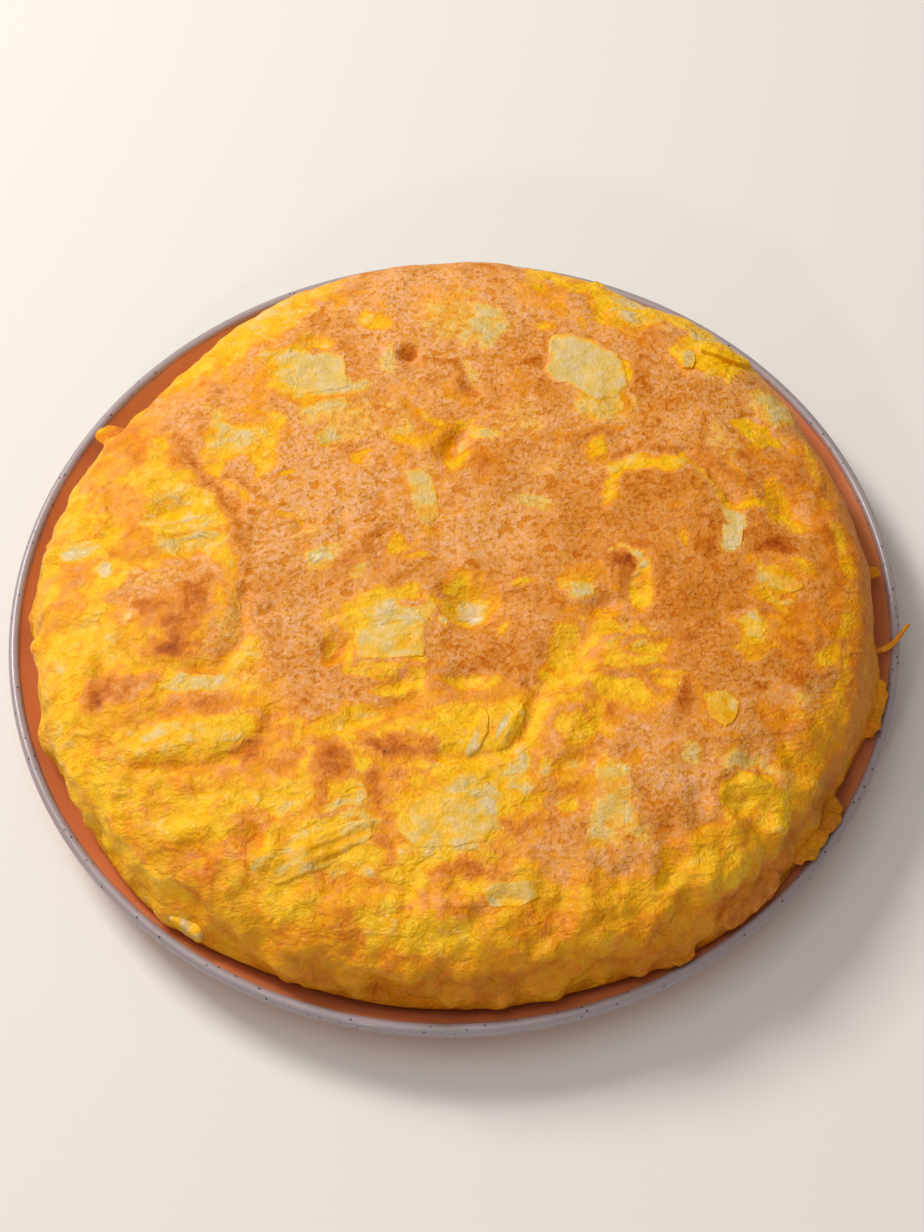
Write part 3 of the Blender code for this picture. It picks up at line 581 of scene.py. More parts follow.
        (-64, 100, 2, 9, 25), (62, -92, 4, 2, 20), (-60, 46, 3, 3), (5, -14, 3.4, 4, 20))),
    ("white", 0.8, 1.4, (
        # The white spot at (-96.5, 3) is a painted highlight, a glint on the wet egg at the left.
        (-96.5, 3, 2, 1.6), (4, 40, 1.2, 3, -10), (81, 13, 3, 4), (-90, -13, 1.6, 2.2),
        (-108, 12, 3, 1.2), (79, 4, 2.4, 3, 20), (6, -16, 1.8, 2, 20), (3, -76, 4, 1.6, 10),
        (-38, 5, 2, 1.6))),
    ("lilac", 0.45, 5, (
        (4, 89, 12, 11), (-51, 96, 10, 8, 20), (-38, 105, 9, 4, 10), (-33, 61, 10, 5))),
    ("lilac", 0.8, 2, (
        (26, 17, 5, 3, -35), (62, -62, 3, 4, 30), (7, 68, 1.6, 8, 8), (-17, 74, 2, 8, 5),
        (-27, 1, 4, 3, 20))),
    ("skin", 0.7, 5, (
        (-79, -6, 17, 13, 10), (-92, -36, 8, 4, 10))),
    ("wheat", 0.8, 4, (
        (-64, -20, 5, 9, -20), (-84, 0, 6, 4))),
    ("toast", 0.8, 4, (
        (-78, -11, 12, 7, 10), (-71, -43, 9, 4), (-51, -52, 2.6, 10, -35), (-34, -62, 6, 6),
        (-16, -58, 9, 4, -12), (-22, -70, 2.6, 11), (-19, -84, 2.4, 9, -8), (-92, 17, 3.4, 4.4),
        (10, 32, 8, 8, 30), (-57, -77, 6, 3), (-58, -88, 4, 2), (3, -94, 10, 3),
        (-1, -105, 5, 2.4), (-44, -58, 5, 3, 30), (-26, 4, 8, 2.4, 24), (-77, 43, 3, 5),
        (62, -46, 3.4, 7), (63, -28, 5, 4), (57, -38, 4, 3), (53, -1, 4, 6), (90, 2, 8, 6),
        (43, -49, 5, 3), (22, -80, 7, 3), (64, 79, 5, 6), (-98, -37, 6, 4), (48, 2, 8, 7),
        (-71, -31, 6, 1.6), (-9, 72, 4, 3), (-10, -57, 9, 1.8, 25), (-87, -33, 4, 2.4),
        (66, 12, 4, 6))),
    ("seared", 0.6, 3, (
        (98, 28, 7, 6), (98, -29, 6, 7), (-73, -13, 4, 7, -30), (-70, -5, 6, 2.4, 20),
        (-86, -9, 3, 4), (-80, -15, 3, 3), (-16, -58, 6, 2.2, -12), (-21, -78, 1.6, 6),
        (-33, -64, 3, 4), (-96, -33, 5, 1.6, 10), (-71, -31.3, 5, 1.2), (-97, -37, 3, 3),
        (-57.5, -57.5, 3, 2), (-12, -64, 5, 1.6, -10), (-38, -70, 1.6, 3), (13, -82, 5, 2.4),
        (9, 34, 5, 3, 30), (-79, -25, 7, 3), (-35, -60, 4, 2.4, 20), (-22, -66, 1.4, 5),
        (3, -94, 5, 1.6), (-62, -23, 2, 6, -30), (43, -48, 2.4, 1.6))),
    ("rim", 0.55, 4, (
        (57, -38, 7, 5), (90, -52, 9, 5), (53, -1, 5, 7), (97, 24, 7, 7), (-91, 11, 7, 4),
        (-97, 54, 12, 6, -55))),
    ("brown", 0.8, 3.5, (
        (91, 4, 7, 4.6), (48, 2, 4, 4), (51, -3, 2.4, 4, -30), (97, 27, 5, 5), (62, -45, 2, 6),
        (65, -28, 3, 2.4), (20, -40, 4, 1.4, 20), (-11.5, 75, 2.6, 2.4), (100, -26, 4, 3),
        (94, -38, 3, 5), (87, -18, 2.4, 1.6), (24, -79, 2, 1.2), (-22, 11, 4, 1.2, 24),
        (-61, 18, 2, 6, 10), (72, 4, 3, 4), (60, 33, 8, 1.2, 8))),
    ("dark", 0.8, 1.6, (
        (-80, -25.4, 3, 1.6), (-97.6, -38, 1.6, 1.4), (97, 25, 2, 2.4), (90, 4, 4, 2, 10),
        (22, -40.4, 2.4, 1, 25), (-11.5, 74.5, 1.4, 1.3), (-42.5, 14.5, 0.8, 0.8),
        (62, -43, 1, 3), (95, 1, 2, 1.6))),
    ("burnt", 0.9, 0.8, (
        (22.5, -39.8, 1.4, 0.6, 30), (-89.5, -15, 0.8, 0.6, 30), (84, 44, 0.6, 0.6),
        (2.5, -40, 0.7, 0.9), (97.5, 24, 1, 0.9))),
)
# Pockets where the egg never met the pan: yellow with a browned rim. Their rim and olive are
# laid thicker on the wall nearest the window, which faces away from it, as painted shade, and
# cream on the far wall as painted light. x, y, half length, half width, turn.
POCKETS = (
    (30, -30, 8.5, 6, 56), (49, -31, 9.5, 4, -10), (46, -42, 8, 3.4, -15), (58, -41, 3, 2, 0),
    (32, -53, 4, 6, 10), (43, 38, 2.6, 3.4, 0), (2, 35, 3.5, 2.4, 30), (95, 17, 3.6, 9, 20),
    (-17, -32.5, 12, 2.2, 5), (-14, -38, 8, 3, 10), (3, -36, 6.5, 3, 0), (29, -75, 3.6, 2.6, 0),
    (76, -74, 7, 3.6, 30), (104, -32, 4.6, 2.4, 40), (-37, 82, 4, 1.3, 0),
    (53.5, -9, 2.4, 8, -10), (30, 86, 3, 2.6, 0), (56, -29, 5, 2.2, 0), (1, -6, 5, 2.6, 10),
    (98, -3, 3, 2, 0), (-28, 40, 1.8, 2.2, 0), (46, 23, 2, 3.6, -20), (-16, 8, 2, 4, 0),
    (44, -16, 4, 2, 15), (-5, 51, 6, 1.2, -30), (14, -22, 3, 1.6, 30), (60, -38, 3, 1.2, 0),
    (-10, 4, 3, 1.2, 30), (20, -6, 2.6, 1.2, 20), (66, 6, 1.4, 3, 0), (-48, 33, 2.4, 1, 20),
)
# Tone, half width, how strong, then the points of the stroke.
STROKES = (
    ("pale", 1.8, 0.95, ((48, 29.5), (54, 32), (62, 32), (69, 32.5))),
    ("brown", 1.4, 0.7, ((49, 35), (56, 37), (64, 37), (71, 35))),
    ("bright", 1.6, 0.95, ((71, 34), (74, 28), (79, 22), (84, 18.5), (90, 17))),
    ("rim", 2.2, 0.8, ((76, 34), (80, 28), (86, 24))),
    ("bright", 1.3, 0.9, ((22, -40), (30, -38.5), (40, -38), (50, -40.5))),
    ("tan", 2.4, 0.75, ((-80, 48), (-72, 37), (-66, 27), (-62, 20), (-60, 8))),
    ("brown", 1.0, 0.6, ((-76, 42), (-70, 33), (-65, 25), (-61, 16))),
    ("bright", 1.4, 0.85, ((25, -42), (23, -46), (21.5, -53), (16, -60.5), (7, -64), (-5, -63))),
    ("deep", 0.8, 0.85, ((22, -43), (20, -48), (18, -53), (13, -58.5), (6, -61), (-5, -60))),
    ("deep", 1.6, 0.8, ((-92, -20), (-88, -27), (-82, -29), (-66, -30), (-61, -24))),
    ("deep", 1.3, 0.8, ((0, 36), (0, 41), (1.5, 46), (4, 48))),
    ("brown", 1.2, 0.6, ((46, 43), (38, 42), (30, 41))),
    ("amber", 1.1, 0.7, ((-35, -29), (-32, -26), (-30, -23))),
    ("brown", 0.8, 0.7, ((-6, 74), (4, 72), (5, 64), (8, 60))),
    ("tan", 1.2, 0.7, ((76, 50), (74, 42), (76, 36), (80, 28))),
    ("cream", 0.7, 0.8, ((87, -3), (88, -10), (91, -17))),
    ("orange", 1.4, 0.8, ((20, -42), (12, -42), (0, -40))),
    ("orange", 1.3, 0.8, ((-25, -54), (-18, -48), (-8, -44), (4, -43))),
    ("orange", 1.2, 0.8, ((-55, 63), (-45, 60), (-30, 60), (-12, 56), (-6, 48))),
    ("orange", 1.0, 0.7, ((-14, 40), (-14, 30), (-12, 20), (-8, 13), (-2, 10))),
    ("yolk", 1.1, 0.8, ((-29, -32), (-26, -22), (-27, -14), (-20, -9), (-10, -12))),
    ("brown", 1.0, 0.6, ((72, 34), (77, 26), (84, 19), (88, 26))),
    ("yolk", 1.0, 0.7, ((-64, 30), (-56, 24), (-50, 20), (-42, 15))),
    ("orange", 1.2, 0.8, ((-6, -8), (0, -2), (8, -3), (12, -8), (10, -18), (4, -21))),
    ("orange", 1.1, 0.7, ((30, -6), (34, -2), (42, -3), (47, -8), (46, -17), (38, -19))),
    ("orange", 1.2, 0.8, ((67, -42), (66, -52), (70, -57), (77, -57), (79, -47), (75, -41))),
    ("orange", 1.1, 0.7, ((79, -20), (84, -17), (89, -24), (85, -31), (80, -29), (79, -20))),
    ("orange", 1.2, 0.7, ((84, -2), (90, 0), (99, -6), (101, -16), (97, -26), (90, -24))),
    # Thin white and cream strokes over the brown spot by (48, 0): threads of egg, and painted
    # highlights on them.
    ("white", 0.35, 0.9, ((44, 3), (48, 4.6), (51, 2.6), (53, -2))),
    ("cream", 0.35, 0.9, ((46, 6), (50, 3), (55, 2.4))),
    ("cream", 0.4, 0.7, ((-92, 20), (-84, 21), (-72, 22.5))),
    ("deep", 0.8, 0.7, ((-94, 14), (-84, 15), (-74, 16), (-64, 14))),
    ("pale", 0.8, 0.8, ((-90, 18), (-80, 17.5), (-66, 18))),
    ("deep", 0.7, 0.7, ((-52, -70), (-62, -66), (-76, -64), (-88, -66))),
    ("bright", 0.9, 0.7, ((-50, -72), (-62, -69), (-76, -68), (-88, -70))),
    ("orange", 1.1, 0.7, ((-52, -46), (-50, -55), (-54, -62), (-62, -65))),
    ("tan", 1.0, 0.6, ((-40, -78), (-32, -76), (-24, -76), (-20, -80))),
    ("olive", 3.0, 0.7, ((-52, -92), (-42, -87), (-30, -80), (-23, -79))),
    ("cream", 0.6, 0.9, ((-55, -91), (-47, -86), (-38, -80), (-29, -77))),
    ("cream", 0.5, 0.9, ((-50, -92), (-42, -87), (-33, -82), (-25, -79))),
    ("pale", 0.6, 0.9, ((-44, -93), (-36, -88), (-28, -83), (-22, -80))),
    ("deep", 0.5, 0.8, ((-53, -93), (-44, -88), (-35, -82.5), (-27, -79.5))),
    ("deep", 0.5, 0.8, ((-46, -93), (-38, -88), (-30, -83.5), (-23, -81))),
    ("cream", 0.5, 0.8, ((-34, -93), (-28, -90), (-24, -92))),
)
# On the side: tone, how strong, then patches: angle, height, half length, half height.
SIDE_PATCHES = (
    ("deep", 0.6, ((240, 28, 14, 7), (258, 30, 10, 6), (282, 27, 16, 6), (300, 30, 10, 8),
                   (292, 33, 22, 4), (318, 26, 12, 5), (346, 28, 16, 8))),
    ("orange", 0.6, ((262, 37, 12, 3), (276, 34, 8, 3), (338, 32, 20, 10), (352, 30, 20, 12),
                     (15, 32, 26, 12), (150, 34, 10, 6), (185, 36, 6, 5), (280, 38, 14, 2))),
    ("brown", 0.7, ((313, 26, 8, 5), (306, 31, 6, 3), (352, 27, 5, 3))),
    ("bright", 0.9, ((266, 39, 10, 2), (308, 37, 8, 3), (318, 38, 8, 2.4), (245, 39, 7, 2),
                     (228, 31, 9, 3))),
    ("pale", 0.7, ((120, 36, 30, 8), (203, 34, 8, 6), (212, 26, 9, 4))),
    # Painted shade: amber low on the lower right side, which faces away from the lights.
    ("amber", 0.7, ((311, 22, 14, 3), (316, 21, 8, 2))),
)


def polygon_inside(x, y, points):
    """Signed distance in mm to a closed outline, above 0 inside."""
    closed = (*points, points[0])
    inside = np.zeros(np.shape(x), bool)
    for (ax, ay), (bx, by) in zip(closed, closed[1:]):
        cut = (ay > y) != (by > y)
        inside ^= cut & (x < (bx - ax) * (y - ay) / ((by - ay) or 1e-9) + ax)
    return np.where(inside, 1, -1) * line_distance(x, y, closed)


def lay(values, tone, cover, *wet):
    """Lay a tone over painted values, as far as it covers them."""
    values += (np.array((*TONES[tone], *wet)) - values) * np.clip(cover, 0, 1)[:, None]


def paint(places):
    """Browning, paleness, depth of colour and its painted shade, crust and wetness at places in
    metres.
    """
    solid = places * 1000
    x, y, z = solid.T
    angle = np.degrees(np.arctan2(y, x)) % 360
    # No patch has a clean edge: it wanders by a few millimetres and is torn finer still.
    torn = 0.6 * clouds(solid, 6.0, 31) + 0.55 * clouds(solid, 3.0, 32)
    worn_x = x + 1.6 * clouds(solid, 9.0, 34) + 1.0 * clouds(solid, 4.0, 35)
    worn_y = y + 1.6 * clouds(solid, 9.0, 44) + 1.0 * clouds(solid, 4.0, 45)
    skin = np.tile(TONES["yolk"], (len(x), 1))
    low = smooth_step((43 - z) / 14)
    painted_shade_side = smooth_step((x - y + 20) / 110)
    # Egg that the pan never toasted: deeper in colour low on the side, which is painted shade,
    # with bright, pale and orange streaks.
    lay(skin, "deep", 0.4 * low + 0.4 * smooth_step(clouds(solid, 10, 51) * 1.8))
    lay(skin, "bright", 0.9 * smooth_step(clouds(solid, 7, 52) * 2.4))
    lay(skin, "pale", 0.7 * smooth_step(clouds(solid, 4.4, 53) * 2.4 - 0.6) * (1 - 0.6 * low))
    lay(skin, "orange", 0.6 * smooth_step(clouds(solid, 6, 54) * 2.4 - 0.6) * (1 - 0.3 * low))
    # Painted shade: the low side deepens further towards the lower right, away from the lights.
    skin[:, 2] += 1.0 * low * painted_shade_side
    # Inside its outline the skin toasted, with a blushed edge and warmer and paler clouds.
    inside = polygon_inside(worn_x, worn_y, CRUST_OUTLINE) + 4 * clouds(solid, 12, 61)
    lay(skin, "blush", 0.8 * smooth_step((inside + 9 + 6 * torn) / 10))
    lay(skin, "skin", smooth_step((inside + 3 + 7 * torn) / 11))
    deep_in = smooth_step(inside / 6)
    lay(skin, "warm", 0.5 * smooth_step(clouds(solid, 5, 55) * 2.2) * deep_in)
    lay(skin, "wheat", 0.5 * smooth_step(clouds(solid, 8, 56) * 2.4 - 0.5) * deep_in)
    for tone, strength, soft, rows in PATCHES:
        for row in rows:
            edge = min(row[2], row[3])
            away = (1 - np.sqrt(oval(worn_x, worn_y, *row))) * edge
            away += 0.75 * min(edge, 6.0) * torn
            lay(skin, tone, strength * smooth_step(away / max(2.0, min(soft, 1.3 * edge)) + 0.5))
    for middle_x, middle_y, half_length, half_width, turn in POCKETS:
        reach = np.sqrt(oval(worn_x, worn_y, middle_x, middle_y, half_length, half_width, turn))
        reach -= 0.5 * torn
        soft = 3.0 / (half_length + half_width)
        shade_side_slant = ((worn_y - middle_y) - (worn_x - middle_x)) / (0.7 * (half_length + half_width))
        # Painted shade: the browned rim is laid thicker on the wall turned from the window.
        lay(skin, "tan", 0.6 * smooth_step((1.2 + 2.4 * soft - reach) / (2 * soft))
            * smooth_step(shade_side_slant + 0.6))
        lay(skin, "orange", 0.85 * smooth_step((1.1 + 1.4 * soft - reach) / (1.5 * soft)))
        lay(skin, "yolk", 0.95 * smooth_step((1.05 + 0.5 * soft - reach) / (1.5 * soft)))
        # Painted shade: olive on the wall turned from the window. Painted light: cream on the wall
        # that faces it.
        lay(skin, "olive", 0.85 * smooth_step(1.2 * shade_side_slant)
            * smooth_step((1.05 + 0.3 * soft - reach) / soft))
        lay(skin, "cream", 0.8 * smooth_step(-shade_side_slant)
            * smooth_step((0.75 + 0.3 * torn - reach) / 0.5))
    for tone, half_width, strength, points in STROKES:
        away = line_distance(worn_x, worn_y, points) / max(half_width, 1.0) - 0.7 * torn
        thin = min(1.0, half_width / 0.8)
        lay(skin, tone, strength * thin * smooth_step((1.7 - away) / 1.3))
    for tone, strength, rows in SIDE_PATCHES:
        for middle, level, half_length, half_height in rows:
            around = along_side(angle, middle) / half_length
            reach = np.sqrt(around ** 2 + ((z - level) / half_height) ** 2)
            lay(skin, tone, strength * smooth_step((1.25 + 0.5 * torn - reach) / 0.7))
    # Threads of egg show yellow through the crust, where it stretched and tore, and fine
    # folds that the pan caught are browned.
    tear = smooth_step(1 - np.abs(clouds(solid, 7.0, 57)) / 0.11)
    lay(skin, "orange", 0.7 * tear * skin[:, 3] * smooth_step(clouds(solid, 14, 58) * 2 + 0.3))
    fold = smooth_step(1 - np.abs(clouds(solid, 6.0, 59)) / 0.10)
    skin[:, 0] += 0.2 * fold * smooth_step(clouds(solid, 12, 60) * 2 + 0.2)
    wet = (1 - skin[:, 3]) * (0.35 + 0.65 * smooth_step((50 - y - 0.5 * x) / 70))
    return np.column_stack([skin, wet])


PAINTED = ("browned", "paleness", "depth", "crust", "wet")


def write_paint(piece, values):
    """Store what paint() gives for each of a piece's points."""
    for name, column in zip(PAINTED, values.T):
        stored = piece.data.attributes.new(name, "FLOAT", "POINT")
        stored.data.foreach_set("value", np.ascontiguousarray(column, np.float32))


write_paint(egg, paint(corners(egg)))


# Colours of egg that stayed off the pan, and of the toasted skin, along the heat they got.
WET_COLOURS = (
    (0.0, "#fbc524"), (0.14, "#f9b828"), (0.27, "#f4a636"), (0.40, "#ec9a48"),
    (0.53, "#de8732"), (0.66, "#cc7222"), (0.80, "#b8621c"), (0.92, "#8b400e"), (1.0, "#4e240a"))
TOASTED_COLOURS = (
    (0.0, "#f9b830"), (0.14, "#f6af3c"), (0.27, "#f1aa64"), (0.40, "#edb08a"),
    (0.53, "#e6a26a"), (0.66, "#d4873a"), (0.80, "#bb641e"), (0.92, "#923e0a"), (1.0, "#502308"))


def cooked_food(name, pores, folds, mottled):
    """A material that browns, pales and shines as what is painted on the piece says."""
    made, tree, shader = new_material(name)
    place = add_node(tree, "ShaderNodeTexCoord", {}).outputs["Object"]
    browned, paleness, depth, crust, wet = [
        add_node(tree, "ShaderNodeAttribute", {}, attribute_name=stored).outputs["Fac"]
        for stored in PAINTED]
    smooth = add_node(tree, "ShaderNodeMath", {0: 1.0, 1: crust}, operation="SUBTRACT")

    # Egg that wrinkled as it slid and set: wandering folds 4 to 5 mm apart and finer.
    turned = add_node(tree, "ShaderNodeMapping", {
        "Vector": place, "Rotation": (0, 0, math.radians(12)), "Scale": (0.85, 1.25, 1.0)})
    wrinkle = add_node(tree, "ShaderNodeTexNoise", {
        "Vector": turned, "Scale": per_metre(4.348), "Detail": 4.0, "Roughness": 0.55,
        "Distortion": 0.6})
    # Clots of egg 5 mm across, and a grain of bubbles 1 mm across and less.
    clots = add_node(tree, "ShaderNodeTexNoise", {
        "Vector": place, "Scale": per_metre(4.762), "Detail": 5.0, "Roughness": 0.65})
    grain = add_node(tree, "ShaderNodeTexNoise", {
        "Vector": place, "Scale": per_metre(1.111), "Detail": 2.0, "Roughness": 0.7})
    # Places 10 mm across where pores crowd.
    crowd = add_node(tree, "ShaderNodeTexNoise", {
        "Vector": place, "Scale": per_metre(10.526), "Detail": 2.0})
    wrinkle, clots, grain, crowd = [
        add_node(tree, "ShaderNodeMath", {0: pattern, 1: 0.5}, operation="SUBTRACT")
        for pattern in (wrinkle, clots, grain, crowd)]
    wrinkle = add_node(tree, "ShaderNodeMath", {0: wrinkle, 1: folds}, operation="MULTIPLY")
    wrinkle = add_node(tree, "ShaderNodeMath", {0: wrinkle, 1: smooth}, operation="MULTIPLY")

    # Pores: bubbles burst against the pan, 0.5 to 3 mm wide, ragged, many in some places.
    leaning = add_node(tree, "ShaderNodeMapping", {
        "Vector": place, "Rotation": (0, 0, math.radians(-25)), "Scale": (0.9, 1.0, 1.0)})
    small = add_node(tree, "ShaderNodeTexNoise", {
        "Vector": leaning, "Scale": per_metre(1.25), "Detail": 2.0, "Roughness": 0.55})
    small = add_node(tree, "ShaderNodeMath", {0: crowd, 1: 0.5, 2: small},
                     operation="MULTIPLY_ADD")
    small = add_node(tree, "ShaderNodeMapRange", {
        "Value": small, "From Min": 0.58, "From Max": 0.64, "To Max": 0.8},
        interpolation_type="SMOOTHSTEP")
    wide = add_node(tree, "ShaderNodeTexNoise", {
        "Vector": leaning, "Scale": per_metre(2.778), "Detail": 3.0, "Roughness": 0.5})
    wide = add_node(tree, "ShaderNodeMath", {0: crowd, 1: -0.5, 2: wide},
                    operation="MULTIPLY_ADD")
    wide = add_node(tree, "ShaderNodeMapRange", {
        "Value": wide, "From Min": 0.62, "From Max": 0.655}, interpolation_type="SMOOTHSTEP")
    pore = add_node(tree, "ShaderNodeMath", {0: small, 1: wide}, operation="MAXIMUM")
    pore = add_node(tree, "ShaderNodeMath", {0: pore, 1: crust}, operation="MULTIPLY")
    pore = add_node(tree, "ShaderNodeMath", {0: pore, 1: pores}, operation="MULTIPLY")

    # How far each spot browned picks its colour, on wet egg and on dull skin. Clots colour
    # wet egg more unevenly than they do the skin.
    patchy = add_node(tree, "ShaderNodeMath", {0: smooth, 1: 1.35, 2: 0.24},
                      operation="MULTIPLY_ADD")
    patchy = add_node(tree, "ShaderNodeMath", {0: clots, 1: patchy}, operation="MULTIPLY")
    heat = add_node(tree, "ShaderNodeMath", {0: browned, 1: patchy}, operation="ADD")
    heat = add_node(tree, "ShaderNodeMath", {0: grain, 1: 0.28, 2: heat},
                    operation="MULTIPLY_ADD")
    wet_egg = add_node(tree, "ShaderNodeValToRGB", {"Fac": heat})
    toasted = add_node(tree, "ShaderNodeValToRGB", {"Fac": heat})
    for scale, colours in ((wet_egg, WET_COLOURS), (toasted, TOASTED_COLOURS)):
        stops = scale.color_ramp.elements
        for index, (stop, tint) in enumerate(colours):
            element = stops[index] if index < 2 else stops.new(stop)
            element.position, element.color = stop, (*linear(tint), 1)
    dull = add_node(tree, "ShaderNodeMapRange", {
        "Value": crust, "From Min": 0.15, "From Max": 0.75}, interpolation_type="SMOOTHSTEP")
    colour = add_node(tree, "ShaderNodeMix", {0: dull, 6: wet_egg, 7: toasted}, data_type="RGBA")

    # Bright egg, then pale egg, then potato or onion under it, then the bare cut face.
    pale = add_node(tree, "ShaderNodeMath", {0: clots, 1: mottled, 2: paleness},
                    operation="MULTIPLY_ADD")
    pale = add_node(tree, "ShaderNodeMath", {0: wrinkle, 1: pale}, operation="ADD")
    for low, high, most, tint in ((0.2, 0.6, 0.6, "#fbbf3c"), (0.34, 0.66, 0.85, "#ecc26e"),
                                  (0.50, 0.90, 0.85, "#dabf94"), (1.0, 1.4, 0.8, "#f7ead4")):
        cover = add_node(tree, "ShaderNodeMapRange", {
            "Value": pale, "From Min": low, "From Max": high, "To Max": most},
            interpolation_type="SMOOTHSTEP")
        colour = add_node(tree, "ShaderNodeMix", {0: cover, 6: colour, 7: (*linear(tint), 1)},
                          data_type="RGBA")
    # Thick egg takes more of the yolk's colour, and the painted shade laid into depth darkens it
    # the same way.
    deeper_and_shaded = add_node(tree, "ShaderNodeMath", {0: clots, 1: -1.2, 2: depth},
                      operation="MULTIPLY_ADD")
    deeper_and_shaded = add_node(tree, "ShaderNodeMath", {0: wrinkle, 1: 0.9, 2: deeper_and_shaded},
                      operation="MULTIPLY_ADD")
    for low, high, tint in ((0.0, 0.7, (0.86, 0.68, 0.25, 1)), (0.6, 1.4, (0.72, 0.55, 0.3, 1))):
        cover = add_node(tree, "ShaderNodeMapRange", {
            "Value": deeper_and_shaded, "From Min": low, "From Max": high}, interpolation_type="SMOOTHSTEP")
        colour = add_node(tree, "ShaderNodeMix", {0: cover, 6: colour, 7: tint},
                          data_type="RGBA", blend_type="MULTIPLY")
    # Flecks of richer orange, where the yolk coloured more: 4 mm and finer in wet egg, 1.6 mm
    # and finer between the crust's bubbles, and fewer where pale potato or onion shows.
    flecks = add_node(tree, "ShaderNodeTexNoise", {
        "Vector": leaning, "Scale": per_metre(3.846), "Detail": 5.0, "Roughness": 0.85})
    flecks = add_node(tree, "ShaderNodeMath", {0: wrinkle, 1: -0.6, 2: flecks},
                      operation="MULTIPLY_ADD")
    bubbles = add_node(tree, "ShaderNodeTexNoise", {
        "Vector": place, "Scale": per_metre(1.613), "Detail": 4.0, "Roughness": 0.85})
    flecks = add_node(tree, "ShaderNodeMix", {0: dull, 2: flecks, 3: bubbles})
    rich = add_node(tree, "ShaderNodeMapRange", {
        "Value": flecks, "From Min": 0.41, "From Max": 0.56})
    clear = add_node(tree, "ShaderNodeMapRange", {
        "Value": pale, "From Min": 0.3, "From Max": 0.8, "To Min": 1.0, "To Max": 0.58})
    rich = add_node(tree, "ShaderNodeMath", {0: rich, 1: clear}, operation="MULTIPLY")
    fleck = add_node(tree, "ShaderNodeMix", {
        0: dull, 6: (0.94, 0.80, 0.03, 1), 7: (0.94, 0.80, 0.20, 1)}, data_type="RGBA")
    for cover, tint in ((rich, fleck), (pore, (0.86, 0.64, 0.14, 1))):
        colour = add_node(tree, "ShaderNodeMix", {0: cover, 6: colour, 7: tint},
                          data_type="RGBA", blend_type="MULTIPLY")

    # Pores dent the skin, and grain, clots and wrinkles raise it, in shares of 0.7 mm.
    height = add_node(tree, "ShaderNodeMath", {0: pore, 1: -0.35}, operation="MULTIPLY")
    for pattern, rise in ((grain, 0.7), (clots, 1.5), (wrinkle, 3.4)):
        height = add_node(tree, "ShaderNodeMath", {0: pattern, 1: rise, 2: height},
                          operation="MULTIPLY_ADD")
    bump = add_node(tree, "ShaderNodeBump", {"Height": height, "Strength": 0.8,
                                             "Distance": 0.0007})
    shine = add_node(tree, "ShaderNodeMath", {0: wet, 1: 0.35}, operation="MULTIPLY")
    set_inputs(tree, shader, {
        "Base Color": colour, "Coat Weight": shine, "Normal": bump, "Coat Normal": bump,
        "Roughness": 0.5, "IOR": 1.42, "Specular IOR Level": 0.1, "Coat IOR": 1.45,
        "Coat Roughness": 0.06, "Subsurface Weight": 0.1,
        "Subsurface Radius": (1.0, 0.5, 0.12), "Subsurface Scale": 0.002})
    return made


# Set egg: a soft, slightly see-through solid. Where it is toasted the skin is dull, with
# ragged pores and a grain of bubbles, drawn 1 mm across because finer ones wouldn't show.
# Where it is yellow it is smooth and wet, with small sharp highlights on its wrinkles.
set_egg = cooked_food("set_egg", 1.0, 1.0, 1.2)
finish_piece(egg, set_egg, "egg", "omelette")


# The flakes, the skirt and the thread of egg
# Thin tongues of set egg that were torn or pressed out between the pan and the plate
# while the omelette was turned over, so they stand out of its side and over the glaze.

# Angle in degrees, then in mm: root and tip radius, root and tip height, root and tip
# width, thickness, and how far the sides stand above the middle.
FLAKES = {
    "egg_flake_left": (148.2, 106, 124.6, 24.5, 24.0, 10.0, 6.0, 0.8, 1.2),
    "egg_flake_fin": (168.0, 112, 122.4, 22.0, 22.5, 4.0, 1.5, 0.64, 1.2),
    "egg_flake_right": (3.0, 112, 125.0, 20.5, 22.6, 7.0, 3.5, 0.8, 1.2),
    "egg_flake_front": (297.5, 115, 127.8, 22.4, 21.8, 14.0, 6.0, 0.8, 1.2),
    "egg_flake_back": (65.5, 104, 118.0, 36.0, 34.0, 8.0, 4.0, 0.88, 1.2),
    "egg_skirt_right": (322.0, 114, 127.2, 23.6, 21.8, 27.0, 21.0, 0.8, 1.0),
    "egg_skirt_far_right": (342.0, 114, 126.4, 23.0, 21.8, 23.0, 18.0, 0.8, 1.0),
}
FARTHEST_TIP = 128.0                # mm from the middle
OVER_LIP = PLATE_HEIGHT * 1000 + 0.6
# Points in mm along the thread of egg that hangs over the lip, and its radius at the root,
# which halves towards its end.
THREAD = ((114, -19.4, 21.4), (121.5, -20, 21.9), (125.5, -18.6, 22.3), (128.6, -14.6, 22.2),
          (131.2, -11.2, 21.9))
THREAD_RADIUS = 1.1


def solidify(piece, thickness, offset=-1.0):
    """Give a sheet its thickness, on its inner side unless told otherwise."""
    wall = piece.modifiers.new("thickness", "SOLIDIFY")
    wall.thickness = thickness
    wall.offset = offset
    bpy.context.view_layer.objects.active = piece
    bpy.ops.object.modifier_apply(modifier=wall.name)


def sheet_grid(name, across, along):
    """A flat grid from -1 to 1 each way, to be bent into a thin piece."""
    bpy.ops.object.select_all(action="DESELECT")
    bpy.ops.mesh.primitive_grid_add(x_subdivisions=across, y_subdivisions=along, size=2)
    made = bpy.context.object
    made.name = name
    return made, corners(made)


